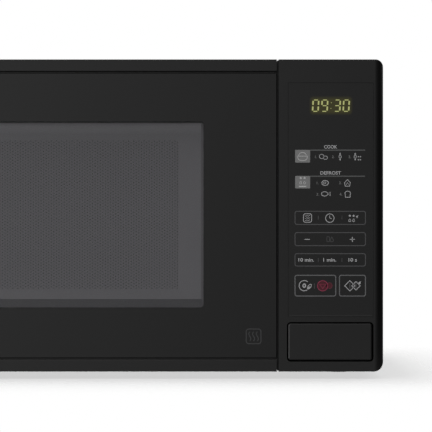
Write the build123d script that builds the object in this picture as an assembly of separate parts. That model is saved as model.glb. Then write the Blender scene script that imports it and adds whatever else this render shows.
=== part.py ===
from build123d import *
from math import asin, cos, pi, radians, sin
import os

os.makedirs("parts", exist_ok=True)

# A compact 17-litre microwave oven. Millimetres, X to the right, Y to the back, Z up.
# The origin is on the ground under the middle of the whole oven; the door faces -Y.

# Overall size
width = 455.0
depth = 330.0
height = 256.0
foot_height = 6.0
sheet = 0.8                 # every chassis sheet
wall = 2.4                  # every plastic wall
fit = 0.2                   # nested sheet metal
gap = 0.5                   # loose parts that pass each other

left = -width / 2
right = width / 2
front = -depth / 2
back = depth / 2
bottom = foot_height
top = height

# Door and control panel fronts
door_depth = 31.2
door_clearance = 0.8        # door to front plate
panel_width = 84.1
door_panel_gap = 1.5
strip_height = 9.9          # plastic strips above and below the door glass
glass_thickness = 3.2
glass_gap = 1.1
lip_round = 1.0             # edges of the strips beside the glass
edge_round = 7.0            # outer vertical edges of the front, seen from above
top_corner_round = 6.5
bottom_corner_round = 8.0
panel_left = right - panel_width
door_right = panel_left - door_panel_gap
door_rear = front + door_depth
plate_front = door_rear + door_clearance
plate_rear = plate_front + sheet
front_web = 2.8             # thickness of the plastic behind the glass

# Cabinet shell
cover_inset = 0.8           # cover behind the outline of the front
screw_head = 2.2
cover_left = left + cover_inset
cover_right = right - cover_inset
cover_top = top - cover_inset
cover_rear = back - screw_head
plate_left = cover_left + sheet + fit
plate_right = cover_right - sheet - fit
plate_top = cover_top - sheet - fit
plate_bottom = bottom + sheet
back_rear = cover_rear - sheet
back_front = back_rear - sheet

# Cooking space
side_space = 27.5
latch_space = 47.4
under_space = 28.0
over_space = 19.0
rear_space = 15.0
cavity_left = left + side_space
cavity_right = panel_left - latch_space
cavity_floor = bottom + under_space
cavity_top = top - over_space
cavity_back = back - rear_space
well_depth = 3.0            # round well in the floor that the rollers run in
well_floor = cavity_floor - well_depth
centre_x = (cavity_left + cavity_right) / 2
centre_y = (plate_rear + cavity_back) / 2 - 3

# Turntable
tray_margin = 18.6
tray_thickness = 4.0
rim_height = 8.0
wheel_radius = 8.5
wheel_width = 8.0
wheel_count = 3
axle_radius = 2.0
running = 0.06              # radial clearance of shafts and pins
roll_gap = 0.3              # wheels clear of floor and tray
shaft_radius = 3.0
lobe_count = 3
tray_radius = min(cavity_right - cavity_left, cavity_back - plate_rear) / 2 - tray_margin
track_radius = tray_radius - 26.5
well_radius = track_radius + 9.0
axle_height = well_floor + roll_gap + wheel_radius
tray_bottom = axle_height + wheel_radius + roll_gap
coupler_top = tray_bottom - gap

# Window in the door
window_side = 58.0
window_top_margin = 50.5
window_bottom_margin = 51.2
sill_slope = 6.4
jamb_slope = 2.6
screen_depth = 13.5         # front face to the steel door plate
window_left = left + window_side
window_right = door_right - window_side
window_bottom = bottom + window_bottom_margin
window_top = top - window_top_margin
screen_front = front + screen_depth
screen_sheet = 0.6
choke_width = 18.0
choke_side = 10.5           # door plate beyond the cooking space at the hinge side
choke_latch_side = 14.5
choke_over = 11.0
choke_under = 13.5
choke_left = cavity_left - choke_side
choke_right = cavity_right + choke_latch_side
choke_bottom = cavity_floor - choke_under
choke_top = cavity_top + choke_over
trim_thickness = 1.8
trim_front = door_rear - 2.6

# Hinges
pivot_x = left + 8.0
pivot_y = plate_front - 12.0
pin_radius = 2.5
pin_length = 11.0
leaf_thickness = 2.0
leaf_inset = 3.0            # leaf below the top, and above the bottom, of the door
leaf_half = 6.5
leaf_narrow = 4.0
leaf_gap = 0.6
hinge_flange = 23.0
small_screw = 1.5

# Door latch and its release
hook_x = door_right - 13.9
hook_thickness = 3.0
hook_reach = 21.0           # past the front plate
hook_height = 16.0
lower_hook = bottom + 56.0
upper_hook = top - 74.0
button_travel = 6.0
button_side = 8.5
button_bottom = bottom + 8.7
button_height = 30.2
button_gap = 0.75
button_depth = 14.0
button_round = 2.4
rod_width = 10.0
rod_height = 8.0
rod_z = bottom + 24.0
lever_y = plate_rear + 5.2
lever_z = lower_hook - 6.0
lever_shaft = 2.5
lever_arm = 17.0
lever_drop = lever_z - rod_z
lever_angle = asin(button_travel / lever_drop)
latch_lift = 3.9
button_left = panel_left + button_side - 1.2
button_right = right - button_side - 0.4
button_top = button_bottom + button_height
rod_x = button_left + 13.2

# Keypad and electronics
keypad_left = panel_left + 7.8
keypad_right = right - 8.4
keypad_bottom = button_top + 5.2
keypad_top = top - 18.8
keypad_recess = 0.8
keypad_thickness = 0.6
panel_web = 2.8             # plastic behind the keypad
display_left = keypad_left + 14.1
display_right = display_left + 40.0
display_top = keypad_top - 8.5
display_bottom = display_top - 19.2
board_front = front + 13.5
board_thickness = 1.6
board_rear = board_front + board_thickness

# Component bay
waveguide_depth = 36.0
magnetron_z = top - 66.0
magnetron_y = plate_rear + 116.0
magnetron_half = 46.0
fan_x = right - 56.0
fan_z = top - 96.0
fan_radius = 44.0
fan_depth = 14.0
fan_body = back_front - 25.0
transformer_x = right - 64.0
transformer_y = plate_rear + 90.0
capacitor_y = plate_rear + 172.0
foot_inset_x = 32.0
foot_inset_y = 92.0
foot_radius = 12.0
bushing_neck = 6.0
rod_end = lever_y - lever_shaft - 1.2


def block(x0, x1, y0, y1, z0, z1):
    middle = Pos((x0 + x1) / 2, (y0 + y1) / 2, (z0 + z1) / 2)
    return middle * Box(x1 - x0, y1 - y0, z1 - z0)


def rod(radius, start, direction, length):
    plane = Plane(origin=start, z_dir=direction)
    return plane * Cylinder(radius, length, align=(Align.CENTER, Align.CENTER, Align.MIN))


def ring(outer, inner, start, direction, length):
    return rod(outer, start, direction, length) - rod(inner, start, direction, length)


def face_plane(y):
    """A plane seen from the front: its own x is X and its own y is Z."""
    return Plane(origin=(0, y, 0), x_dir=(1, 0, 0), z_dir=(0, -1, 0))


def side_plane(x):
    """A plane seen from the right: its own x is Y and its own y is Z."""
    return Plane(origin=(x, 0, 0), x_dir=(0, 1, 0), z_dir=(1, 0, 0))


def patch(x0, x1, z0, z1, radius=0.0):
    size = (x1 - x0, z1 - z0)
    shape = RectangleRounded(*size, radius) if radius else Rectangle(*size)
    return Pos((x0 + x1) / 2, (z0 + z1) / 2) * shape


def plate(sketch, y0, y1):
    """A sketch seen from the front, made solid between two depths."""
    return extrude(face_plane(y1) * sketch, amount=y1 - y0)


def side_plate(sketch, x0, x1):
    """A sketch seen from the right, made solid between two X positions."""
    return extrude(side_plane(x0) * sketch, amount=x1 - x0)


def slots(centre, columns, rows, pitch_x, pitch_y, length, breadth):
    """Rounded slots in a grid."""
    grid = GridLocations(pitch_x, pitch_y, columns, rows)
    return Sketch() + [Pos(*centre) * place * SlotOverall(length, breadth) for place in grid]


def coil(radius, wire, turns, start, direction, length):
    """A helical spring that fills the given length."""
    rise = length - 2 * wire
    path = Helix(pitch=rise / turns, height=rise, radius=radius)
    section = Plane(origin=path @ 0, z_dir=path % 0) * Circle(wire / 2)
    plane = Plane(origin=Vector(*start) + Vector(*direction) * wire, z_dir=direction)
    return plane * sweep(section, path=path)


def save(name, shape):
    solids = Compound(children=list(shape.solids()))
    export_step(solids, f"parts/{name}.step")
    print(name, len(shape.solids()))


# Chassis


def front_plate():
    outline = patch(plate_left, plate_right, plate_bottom, plate_top, 3.0)
    mouth = patch(cavity_left, cavity_right, cavity_floor, cavity_top, 6.0)
    panel_hole = patch(panel_left + 6, plate_right - 7, bottom + 14, plate_top - 18, 4.0)
    sketch = outline - mouth - panel_hole
    for hook in (lower_hook, upper_hook):
        sketch -= patch(hook_x - 4, hook_x + 5.5, hook - 4, hook + hook_height + 8, 1.0)
    for z in leaf_levels():
        slot = (z - 0.4, z + leaf_thickness + 0.4)
        sketch -= patch(pivot_x - leaf_half - 1, pivot_x + leaf_half + 0.6, *slot)
    for x, z in hinge_screw_places():
        sketch -= Pos(x, z) * Circle(small_screw + 0.1)
    rim = patch(plate_left, plate_right, plate_bottom, plate_top, 3.0)
    rim -= patch(plate_left + sheet, plate_right - sheet, plate_bottom - 5, plate_top - sheet)
    return plate(sketch, plate_front, plate_rear) + plate(rim, plate_rear, plate_rear + 8)


def cavity():
    """The welded cooking box, with a round well in its floor and a flange at its mouth."""
    outer = block(cavity_left - sheet, cavity_right + sheet, plate_rear, cavity_back + sheet,
                  cavity_floor - sheet, cavity_top + sheet)
    inner = block(cavity_left, cavity_right, plate_rear, cavity_back, cavity_floor, cavity_top)
    inner = fillet(inner.edges().filter_by(Axis.Y), 6.0)
    outer = fillet(outer.edges().filter_by(Axis.Y), 6.0 + sheet)
    well = (centre_x, centre_y, well_floor)
    outer += rod(well_radius + sheet, (centre_x, centre_y, well_floor - sheet), (0, 0, 1), well_depth)
    inner += rod(well_radius, well, (0, 0, 1), well_depth + 1)
    flange = patch(cavity_left - 9, cavity_right + 7, cavity_floor - 9, cavity_top + 9, 8.0)
    flange -= patch(cavity_left, cavity_right, cavity_floor, cavity_top, 6.0)
    shell = outer - inner + plate(flange, plate_rear, plate_rear + sheet)
    shell -= rod(shaft_radius + 4, (centre_x, centre_y, well_floor - 5), (0, 0, 1), 10)
    port = block(cavity_right - 1, cavity_right + 2, *port_span(), magnetron_z - 28, magnetron_z + 28)
    air = slots((cavity_back - 60, cavity_floor + 60), 5, 6, 9, 9, 6, 3)
    light = slots((cavity_back - 60, cavity_top - 30), 4, 4, 7, 7, 4.5, 3)
    shell -= port + side_plate(air + light, cavity_right - 1, cavity_right + 2)
    outlet = slots((-plate_rear - 60, cavity_top - 30), 5, 4, 9, 9, 6, 3)
    shell -= side_plate(mirror(outlet, Plane.YZ), cavity_left - 2, cavity_left + 1)
    return shell


def base_plate():
    sheet_plan = block(plate_left, plate_right, plate_front, back_rear, bottom, plate_bottom)
    vents = slots((transformer_x, transformer_y), 5, 5, 14, 9, 11, 3.5)
    sheet_plan -= Pos(0, 0, bottom - 1) * extrude(vents, amount=3)
    for x, y in foot_places():
        sheet_plan -= rod(3.1, (x, y, bottom - 1), (0, 0, 1), 3)
    for x in (plate_left, plate_right - sheet):
        sheet_plan += block(x, x + sheet, plate_rear + 10, back_front - 1, plate_bottom, bottom + 13)
    return sheet_plan


def back_panel():
    sketch = patch(plate_left, plate_right, plate_bottom, plate_top)
    sketch -= slots((fan_x, fan_z), 7, 11, 12, 7, 9.5, 4)
    sketch -= slots((cavity_left + 60, cavity_top - 40), 7, 6, 14, 7, 11, 3.5)
    sketch -= Pos(*cord_place()) * Circle(bushing_neck + 0.05)
    for x, z in cover_screw_places():
        sketch -= Pos(x, z) * Circle(2.1)
    return plate(sketch, back_front, back_rear)


def outer_cover():
    """The wrap-over cabinet: top, two sides and a flange round the back."""
    outer = patch(cover_left, cover_right, bottom + fit, cover_top, 4.0)
    outer += patch(cover_left, cover_right, bottom + fit, bottom + 20)
    inner = patch(cover_left + sheet, cover_right - sheet, bottom - 2, cover_top - sheet)
    shell = plate(outer - inner, plate_front + fit, cover_rear)
    lip = patch(cover_left, cover_right, bottom + fit, cover_top, 4.0)
    lip += patch(cover_left, cover_right, bottom + fit, bottom + 20)
    lip -= patch(cover_left + 14, cover_right - 14, bottom - 2, cover_top - 14)
    for x, z in cover_screw_places():
        lip -= Pos(x, z) * Circle(2.1)
    shell += plate(lip, back_rear, cover_rear)
    vents = slots((back - 75, fan_z), 8, 9, 10, 8, 7.5, 3.5)
    shell -= side_plate(vents, cover_right - 2, cover_right + 1)
    return shell


def foot_places():
    xs = (left + foot_inset_x, right - foot_inset_x)
    ys = (front + foot_inset_y, back - foot_inset_x)
    return [(x, y) for x in xs for y in ys]


def feet():
    group = []
    for x, y in foot_places():
        pad = Pos(x, y, 0) * Cone(foot_radius - 2, foot_radius, foot_height,
                                  align=(Align.CENTER, Align.CENTER, Align.MIN))
        group.append(pad + rod(3.0, (x, y, bottom - 1), (0, 0, 1), 5))
    return Compound(children=group)


def cover_screw_places():
    sides = [(x, z) for x in (plate_left + 6.5, plate_right - 6.5) for z in (bottom + 40, top - 32)]
    return sides + [(x, plate_top - 6.5) for x in (plate_left + 40, 0.0, plate_right - 40)]


def cover_screws():
    group = []
    for x, z in cover_screw_places():
        head = rod(4.0, (x, cover_rear, z), (0, 1, 0), screw_head)
        head = fillet(head.faces().sort_by(Axis.Y)[-1].edges(), 1.2)
        head -= block(x - 2.5, x + 2.5, back - 1.2, back, z - 0.5, z + 0.5)
        head -= block(x - 0.5, x + 0.5, back - 1.2, back, z - 2.5, z + 2.5)
        group.append(head + rod(1.9, (x, cover_rear - 8, z), (0, 1, 0), 9))
    return Compound(children=group)


def cord_place():
    return (plate_right - 30, bottom + 30)


def cord_bushing():
    """A plastic grommet in the back panel; its bore takes the mains cord."""
    x, z = cord_place()
    body = rod(bushing_neck, (x, back_front - 6, z), (0, 1, 0), back - back_front + 6)
    body += rod(bushing_neck + 2.5, (x, back_rear, z), (0, 1, 0), back - back_rear)
    body += rod(bushing_neck + 1.5, (x, back_front - 4, z), (0, 1, 0), 4)
    return body - rod(3.6, (x, back_front - 7, z), (0, 1, 0), 30)


# Hinges


def leaf_levels():
    """The lower faces of the bottom and top hinge leaves."""
    return (bottom + leaf_inset, top - leaf_inset - leaf_thickness)


def hinge_screw_places():
    x = pivot_x + 1.5
    low, high = leaf_levels()
    inward = (8.0, 18.0)
    return [(x, low + step) for step in inward] + [(x, high + leaf_thickness - step) for step in inward]


def hinge(level, up):
    """A leaf with its pin, bent into a flange behind the front plate; up is +1 or -1."""
    leaf = rod(leaf_half, (pivot_x, pivot_y, level), (0, 0, 1), leaf_thickness)
    leaf += block(pivot_x - leaf_narrow, pivot_x + leaf_half, pivot_y, plate_rear + 2,
                  level, level + leaf_thickness)
    reach = sorted((level + leaf_thickness / 2, level + leaf_thickness / 2 + up * hinge_flange))
    leaf += block(pivot_x - leaf_narrow, pivot_x + leaf_half, plate_rear, plate_rear + 2, *reach)
    root = (pivot_x, pivot_y, level + leaf_thickness / 2)
    leaf += rod(pin_radius, root, (0, 0, up), pin_length + leaf_thickness / 2)
    for x, z in hinge_screw_places():
        leaf -= rod(small_screw + 0.1, (x, plate_rear - 1, z), (0, 1, 0), 4)
    return leaf


def hinge_screws():
    group = []
    for x, z in hinge_screw_places():
        head = rod(3.0, (x, plate_rear + 2, z), (0, 1, 0), 1.8)
        group.append(head + rod(small_screw, (x, plate_front, z), (0, 1, 0), sheet + 2.5))
    return Compound(children=group)


# Door


def rounded_front(x0, x1, y1, outer_x):
    """A front panel whose outer side has rounded corners and a rounded vertical edge."""
    outline = patch(x0, x1, bottom, top)
    outer = [v for v in outline.vertices() if abs(v.X - outer_x) < 0.01]
    low, high = sorted(outer, key=lambda v: v.Y)
    outline = fillet([high], top_corner_round)
    low = min(outline.vertices(), key=lambda v: (v.X - outer_x) ** 2 + (v.Y - bottom) ** 2)
    outline = fillet([low], bottom_corner_round)
    body = plate(outline, front, y1)
    plan = Pos((x0 + x1) / 2, (front + y1) / 2) * Rectangle(x1 - x0, y1 - front)
    corner = min(plan.vertices(), key=lambda v: (v.X - outer_x) ** 2 + (v.Y - front) ** 2)
    plan = fillet([corner], edge_round)
    return body & (Pos(0, 0, bottom) * extrude(plan, amount=top - bottom))


def hinge_rounding():
    """What is cut from the door's rear corner so that it turns clear of the front plate."""
    reach = door_rear - pivot_y
    corner = block(left - 1, pivot_x, pivot_y, door_rear + 1, bottom - 1, top + 1)
    return corner - rod(reach, (pivot_x, pivot_y, bottom - 2), (0, 0, 1), height)


def hinge_pockets():
    low, high = leaf_levels()
    spans = ((bottom - 1, low + leaf_thickness + leaf_gap), (high - leaf_gap, top + 1))
    cut = None
    for z0, z1 in spans:
        pocket = block(left - 1, pivot_x + leaf_half + 1, pivot_y - 9.8, door_rear + 1, z0, z1)
        cut = pocket if cut is None else cut + pocket
    cut += rod(pin_radius + running, (pivot_x, pivot_y, bottom), (0, 0, 1), pin_length + 8)
    cut += rod(pin_radius + running, (pivot_x, pivot_y, top - pin_length - 8), (0, 0, 1), pin_length + 8)
    return cut


def window_cut():
    """The tapered opening from the back of the glass to the steel screen."""
    seat = front + glass_thickness
    wide = face_plane(seat - 0.01) * patch(window_left, window_right, window_bottom, window_top)
    small = patch(window_left + jamb_slope, window_right - jamb_slope,
                  window_bottom + sill_slope, window_top - 0.01)
    return loft([wide.faces()[0], (face_plane(screen_front + 0.01) * small).faces()[0]])


def door_posts():
    xs = (choke_left + choke_width / 2, choke_right - choke_width / 2)
    zs = (choke_bottom + choke_width / 2, choke_top - choke_width / 2)
    corners = [(x, z) for x in xs for z in zs]
    return corners + [((xs[0] + xs[1]) / 2, z) for z in zs]


def guide_levels():
    return (lower_hook + 36, upper_hook - 14)


def door_frame():
    """The plastic door: strips above and below the glass, a web behind it and a window sleeve."""
    seat = front + glass_thickness
    web = seat + front_web
    frame = rounded_front(left, door_right, door_rear, left) - hinge_rounding()
    frame -= block(left + 7.4, door_right + 1, front - 1, seat, bottom + strip_height, top - strip_height)
    levels = (bottom + strip_height, top - strip_height)
    lips = [e for e in frame.edges().filter_by(Axis.X) if abs(e.center().Y - front) < 0.01]
    frame = fillet([e for e in lips if min(abs(e.center().Z - z) for z in levels) < 0.01], lip_round)
    core_left = choke_left - 0.3
    frame -= block(core_left, door_right - wall, web, door_rear + 1, bottom + wall, top - wall)
    frame -= block(left + wall, core_left + 1, web, door_rear + 1, bottom + 22, top - 22)
    sleeve = 2.4
    frame += block(window_left - sleeve, window_right + sleeve, web, screen_front,
                   window_bottom - sleeve, window_top + sleeve)
    frame -= window_cut()
    for x, z in door_posts():
        frame += rod(4.0, (x, web, z), (0, 1, 0), screen_front - web)
        frame -= rod(small_screw, (x, web + 0.5, z), (0, 1, 0), 10)
    for z in guide_levels():
        frame += rod(3.0, (hook_x, web, z), (0, 1, 0), 16)
    frame += block(hook_x - 6, hook_x + 6, web, web + 16, upper_hook + 50, upper_hook + 52)
    return frame - hinge_pockets()


def door_glass():
    sketch = patch(left + 8, door_right, bottom + strip_height + glass_gap,
                   top - strip_height - glass_gap, 0.8)
    pane = plate(sketch, front, front + glass_thickness)
    return chamfer(pane.faces().sort_by(Axis.Y)[0].edges(), 0.4)


def door_plate():
    """A pressed steel pan: the screen in front, and two walls that make the choke channel."""
    pan = patch(choke_left, choke_right, choke_bottom, choke_top, 4.0)
    inner_edge = patch(choke_left + screen_sheet, choke_right - screen_sheet,
                       choke_bottom + screen_sheet, choke_top - screen_sheet, 4.0 - screen_sheet)
    inner = patch(choke_left + choke_width, choke_right - choke_width,
                  choke_bottom + choke_width, choke_top - choke_width, 3.0)
    hollow = patch(choke_left + choke_width + screen_sheet, choke_right - choke_width - screen_sheet,
                   choke_bottom + choke_width + screen_sheet, choke_top - choke_width - screen_sheet, 2.4)
    face = plate(pan, screen_front, screen_front + screen_sheet)
    outer_wall = plate(pan - inner_edge, screen_front, trim_front - 0.6)
    inner_wall = plate(inner - hollow, screen_front, trim_front)
    body = face + outer_wall + inner_wall
    for x, z in door_posts():
        body -= rod(small_screw + 0.2, (x, screen_front - 1, z), (0, 1, 0), 3)
    return body


def door_screws():
    group = []
    start = screen_front + screen_sheet
    for x, z in door_posts():
        head = rod(3.2, (x, start, z), (0, 1, 0), 1.8)
        group.append(head + rod(small_screw, (x, start - 6, z), (0, 1, 0), 6.5))
    return Compound(children=group)


def window_film():
    inset = choke_width + screen_sheet + 0.4
    sketch = patch(choke_left + inset, choke_right - inset, choke_bottom + inset, choke_top - inset)
    start = screen_front + screen_sheet
    return plate(sketch, start, start + 0.6)


def choke_cover():
    """The inner door trim: it closes the choke channel and the latch space."""
    sketch = patch(choke_left + 0.2, door_right - wall - 0.4, bottom + wall + 0.4, top - wall - 0.4, 2.0)
    inset = choke_width - 2.0
    sketch -= patch(choke_left + inset, choke_right - inset, choke_bottom + inset, choke_top - inset, 3.0)
    for hook in (lower_hook, upper_hook):
        sketch -= patch(hook_x - 2.2, hook_x + 2.2, hook - 1, hook + hook_height + latch_lift + 1)
    return plate(sketch, trim_front, trim_front + trim_thickness)


def hook_outline(z):
    """One hook from the side, with its sloped tip; its nose hangs down at the end."""
    tip = plate_rear + hook_reach
    root = screen_front + 7
    points = [(root, z + 4), (tip - 8, z + 4), (tip - 6, z), (tip - 5, z), (tip, z + 10),
              (tip, z + hook_height), (root, z + hook_height)]
    return make_face(Polyline(*points, close=True))


def door_latch():
    """The latch slide in the door: a bar with two hooks that stand out of the door."""
    y0 = screen_front - 4.5
    y1 = screen_front + 7
    bar = block(hook_x - 7, hook_x + 7, y0, y1, lower_hook - 4, upper_hook + 26)
    for z in guide_levels():
        slot = patch(hook_x - 3.3, hook_x + 3.3, z - 3.5 - latch_lift, z + 3.5, 3.0)
        bar -= plate(slot, y0 - 1, y1 + 1)
    for hook in (lower_hook, upper_hook):
        bar += side_plate(hook_outline(hook), hook_x - hook_thickness / 2, hook_x + hook_thickness / 2)
    return bar


def latch_spring():
    start = upper_hook + 26.3
    return coil(4.0, 0.8, 7, (hook_x, screen_front + 1.5, start), (0, 0, 1), 23.4)


# Release button, its lever and the latch board


def release_button():
    outline = patch(button_left, button_right, button_bottom, button_top, button_round)
    cap = plate(outline, front, front + button_depth)
    cap = fillet(cap.faces().sort_by(Axis.Y)[0].edges(), 1.6)
    inside = patch(button_left + 2.2, button_right - 2.2, button_bottom + 2.2, button_top - 2.2, 1.0)
    cap -= plate(inside, front + 2.6, front + button_depth + 1)
    return cap + block(rod_x - rod_width / 2, rod_x + rod_width / 2, front + 2.0, rod_end,
                       rod_z - rod_height / 2, rod_z + rod_height / 2)


def guide_web():
    """Front face of the web that the button's spring pushes against."""
    return front + button_depth + button_travel + 4.0


def button_spring():
    start = front + 2.9
    return coil(8.0, 0.8, 6, (rod_x, start, rod_z), (0, 1, 0), guide_web() - start - 0.3)


def release_lever():
    """A cross shaft with one arm behind the button and one arm under the lower hook."""
    arm_x = hook_x
    lever = rod(lever_shaft, (arm_x - 11, lever_y, lever_z), (1, 0, 0), rod_x - arm_x + 15)
    drop = lever_drop + 4
    lever += block(rod_x - 3, rod_x + 3, lever_y - 2.5, lever_y + 2.5, lever_z - drop, lever_z)
    lever += rod(4.5, (rod_x - 3, lever_y, lever_z), (1, 0, 0), 6)
    lever += rod(4.5, (arm_x - 2.5, lever_y, lever_z), (1, 0, 0), 5)
    tip = lever_y + lever_arm
    points = [(lever_y, lever_z - 4), (tip, lever_z + 2), (tip, lower_hook - gap),
              (tip - 5, lower_hook - gap), (lever_y, lever_z + 4)]
    return lever + side_plate(make_face(Polyline(*points, close=True)), arm_x - 2.5, arm_x + 2.5)


def latch_board():
    """The plastic interlock holder behind the front plate, open towards the hooks."""
    x0 = hook_x - 11.5
    x1 = hook_x + 9.0
    base = block(x0, x0 + 2.5, plate_rear, plate_rear + 38, lever_z - 12, upper_hook + 32)
    base += block(x0 - 13, x0 + 0.1, plate_rear, plate_rear + 2.5, lower_hook + 30, upper_hook - 10)
    base += block(x1, x1 + 2.5, plate_rear, plate_rear + 38, lever_z - 12, lower_hook + 28)
    base += block(x0, x1 + 2.5, plate_rear + 2, plate_rear + 38, lower_hook + 26, lower_hook + 28)
    base += block(x0, x1 + 2.5, plate_rear + 2, plate_rear + 38, upper_hook - 6, upper_hook - 4)
    base += block(x0, x1 + 2.5, plate_rear + 2, plate_rear + 38, upper_hook + 26, upper_hook + 28)
    base -= rod(lever_shaft + running, (x0 - 1, lever_y, lever_z), (1, 0, 0), 40)
    return base


def switch_levels():
    return (lower_hook + 11.5, upper_hook + 11.5)


def switch_front():
    return plate_rear + hook_reach + 3.0


def door_switches():
    group = []
    for z in switch_levels():
        body = block(hook_x - 9, hook_x + 3.2, switch_front(), switch_front() + 10, z - 6, z + 10)
        body -= rod(1.0 + running, (hook_x, switch_front() - 1, z), (0, 1, 0), 6)
        for step in (-3, 3):
            body += block(hook_x - 4, hook_x - 1, switch_front() + 9.9, switch_front() + 15,
                          z + 2 + step - 0.4, z + 2 + step + 0.4)
        group.append(body)
    return Compound(children=group)


def switch_plungers():
    group = []
    for z in switch_levels():
        start = (hook_x, plate_rear + hook_reach + 0.8, z)
        group.append(rod(1.0, start, (0, 1, 0), 6.0))
    return Compound(children=group)


# Control panel


def control_panel_frame():
    """The plastic panel; a rib on its left wall hides what lies behind the gap beside the door."""
    body = rounded_front(panel_left, right, plate_front, right)
    web = front + panel_web
    body -= block(panel_left + wall, right - wall, web, plate_front + 1, bottom + wall, top - wall)
    recess = 0.35
    seat = patch(keypad_left - recess, keypad_right + recess, keypad_bottom - recess, keypad_top + recess)
    body -= plate(seat, front - 1, front + keypad_recess)
    body -= plate(patch(display_left, display_right, display_bottom, display_top), front, web + 1)
    hole = (button_left - button_gap, button_right + button_gap,
            button_bottom - button_gap, button_top + button_gap)
    sleeve = (hole[0] - 1.8, hole[1] + 1.8, hole[2] - 1.8, hole[3] + 1.8)
    body += plate(patch(*sleeve, 3.0), front + 1, guide_web() + 2)
    body -= plate(patch(*hole, button_round + button_gap), front - 1, guide_web())
    clear = 0.5
    body -= block(rod_x - rod_width / 2 - clear, rod_x + rod_width / 2 + clear, front, plate_front + 1,
                  rod_z - rod_height / 2 - clear, rod_z + rod_height / 2 + clear)
    for x, z in board_posts():
        body += rod(3.0, (x, web - 0.5, z), (0, 1, 0), board_front - web + 0.5)
    shadow = rounded_front(panel_left, right, plate_front, right)
    rib = block(panel_left - door_panel_gap + gap, panel_left + 1, front + 6, plate_front,
                bottom + 0.4, top - 0.4)
    return (body & shadow) + rib


def board_edges():
    return (panel_left + 6.5, right - 8.0, button_top + 9.0, top - 10.0)


def board_posts():
    x0, x1, z0, z1 = board_edges()
    return [(x, z) for x in (x0 + 5, x1 - 5) for z in (z0 + 5, z1 - 5)]


def keypad_membrane():
    sketch = patch(keypad_left, keypad_right, keypad_bottom, keypad_top)
    return plate(sketch, front + keypad_recess - keypad_thickness, front + keypad_recess)


def display_module():
    lens = block(display_left + 1.5, display_right - 1.5, front + keypad_recess + 0.6, board_front - 3,
                 display_bottom + 1.5, display_top - 1.5)
    return lens + block(display_left - 3, display_right + 3, front + panel_web + 0.4, board_front,
                        display_bottom - 3, display_top + 3)


def control_board():
    sketch = patch(*board_edges(), 1.0)
    for x, z in board_posts():
        sketch -= Pos(x, z) * Circle(1.6)
    return plate(sketch, board_front, board_rear)


def board_transformer():
    x0, _, z0, _ = board_edges()
    y = board_rear
    core = block(x0 + 8, x0 + 32, y, y + 20, z0 + 14, z0 + 34)
    return core + block(x0 + 4, x0 + 36, y + 4, y + 16, z0 + 17, z0 + 31)


def board_relays():
    x0, _, z0, _ = board_edges()
    y = board_rear
    group = [block(x0 + 6, x0 + 24, y, y + 15, z, z + 22) for z in (z0 + 48, z0 + 76)]
    return Compound(children=group)


def buzzer():
    _, x1, z0, _ = board_edges()
    place = (x1 - 16, board_rear, z0 + 92)
    return rod(7.0, place, (0, 1, 0), 8) - rod(1.2, (x1 - 16, board_rear + 6, z0 + 92), (0, 1, 0), 3)


# Turntable


def turntable_motor():
    z1 = well_floor - sheet
    body = rod(24.5, (centre_x, centre_y, z1 - 15), (0, 0, 1), 15)
    body += block(centre_x - 33, centre_x + 33, centre_y - 5, centre_y + 5, z1 - 1.2, z1)
    return body - rod(shaft_radius + running, (centre_x, centre_y, z1 - 10), (0, 0, 1), 11)


def turntable_shaft():
    z0 = well_floor - sheet - 9
    return rod(shaft_radius, (centre_x, centre_y, z0), (0, 0, 1), coupler_top - 4 - z0)


def lobe(radius, half_width, z0, z1, turn):
    arm = block(0, radius - half_width, -half_width, half_width, z0, z1)
    arm += rod(half_width, (radius - half_width, 0, z0), (0, 0, 1), z1 - z0)
    return Pos(centre_x, centre_y, 0) * (Rot(0, 0, turn) * arm)


def turntable_coupler():
    z0 = well_floor + 1.0
    hub = rod(9.0, (centre_x, centre_y, z0), (0, 0, 1), coupler_top - z0)
    for step in range(lobe_count):
        hub += lobe(20.0, 4.5, coupler_top - 7, coupler_top, 90 + step * 360 / lobe_count)
    return hub - rod(shaft_radius + 0.02, (centre_x, centre_y, z0 - 1), (0, 0, 1), coupler_top - 4 - z0 + 1)


def glass_tray():
    """A shallow glass dish with a raised rim and three driving lugs underneath."""
    flat = tray_radius - 16
    t = tray_thickness
    z = tray_bottom
    points = [(0, z), (flat, z), (tray_radius - 2, z + rim_height), (tray_radius, z + rim_height + 2),
              (tray_radius - 3, z + rim_height + 3), (flat - 2, z + t), (0, z + t)]
    profile = make_face(Plane.XZ * Polyline(*points, close=True))
    dish = Pos(centre_x, centre_y, 0) * revolve(profile, Axis.Z)
    for step in range(lobe_count):
        turn = radians(30 + step * 360 / lobe_count)
        place = (centre_x + 15 * cos(turn), centre_y + 15 * sin(turn), z - 5)
        dish += rod(3.0, place, (0, 0, 1), 6)
    return dish


def wheel_turns():
    return [90 + step * 360 / wheel_count for step in range(wheel_count)]


def roller_ring():
    """The plastic ring that carries the rollers on short axles."""
    inner = track_radius - 14
    centre = (centre_x, centre_y, axle_height - 3)
    body = ring(inner + 8, inner, centre, (0, 0, 1), 6)
    for turn in wheel_turns():
        axle = rod(axle_radius, (inner + 6, 0, 0), (1, 0, 0), track_radius + wheel_width / 2 - inner - 4)
        axle += rod(4.0, (inner + 4, 0, 0), (1, 0, 0), track_radius - wheel_width / 2 - inner - 5)
        axle += rod(2.8, (track_radius + wheel_width / 2 + 0.6, 0, 0), (1, 0, 0), 1.4)
        body += Pos(centre_x, centre_y, axle_height) * (Rot(0, 0, turn) * axle)
    return body


def roller_wheel(turn):
    wheel = ring(wheel_radius, axle_radius + running, (track_radius - wheel_width / 2, 0, 0),
                 (1, 0, 0), wheel_width)
    return Pos(centre_x, centre_y, axle_height) * (Rot(0, 0, turn) * wheel)


# Microwave generator and power parts


def port_span():
    return (magnetron_y - 70, magnetron_y - 10)


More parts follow.
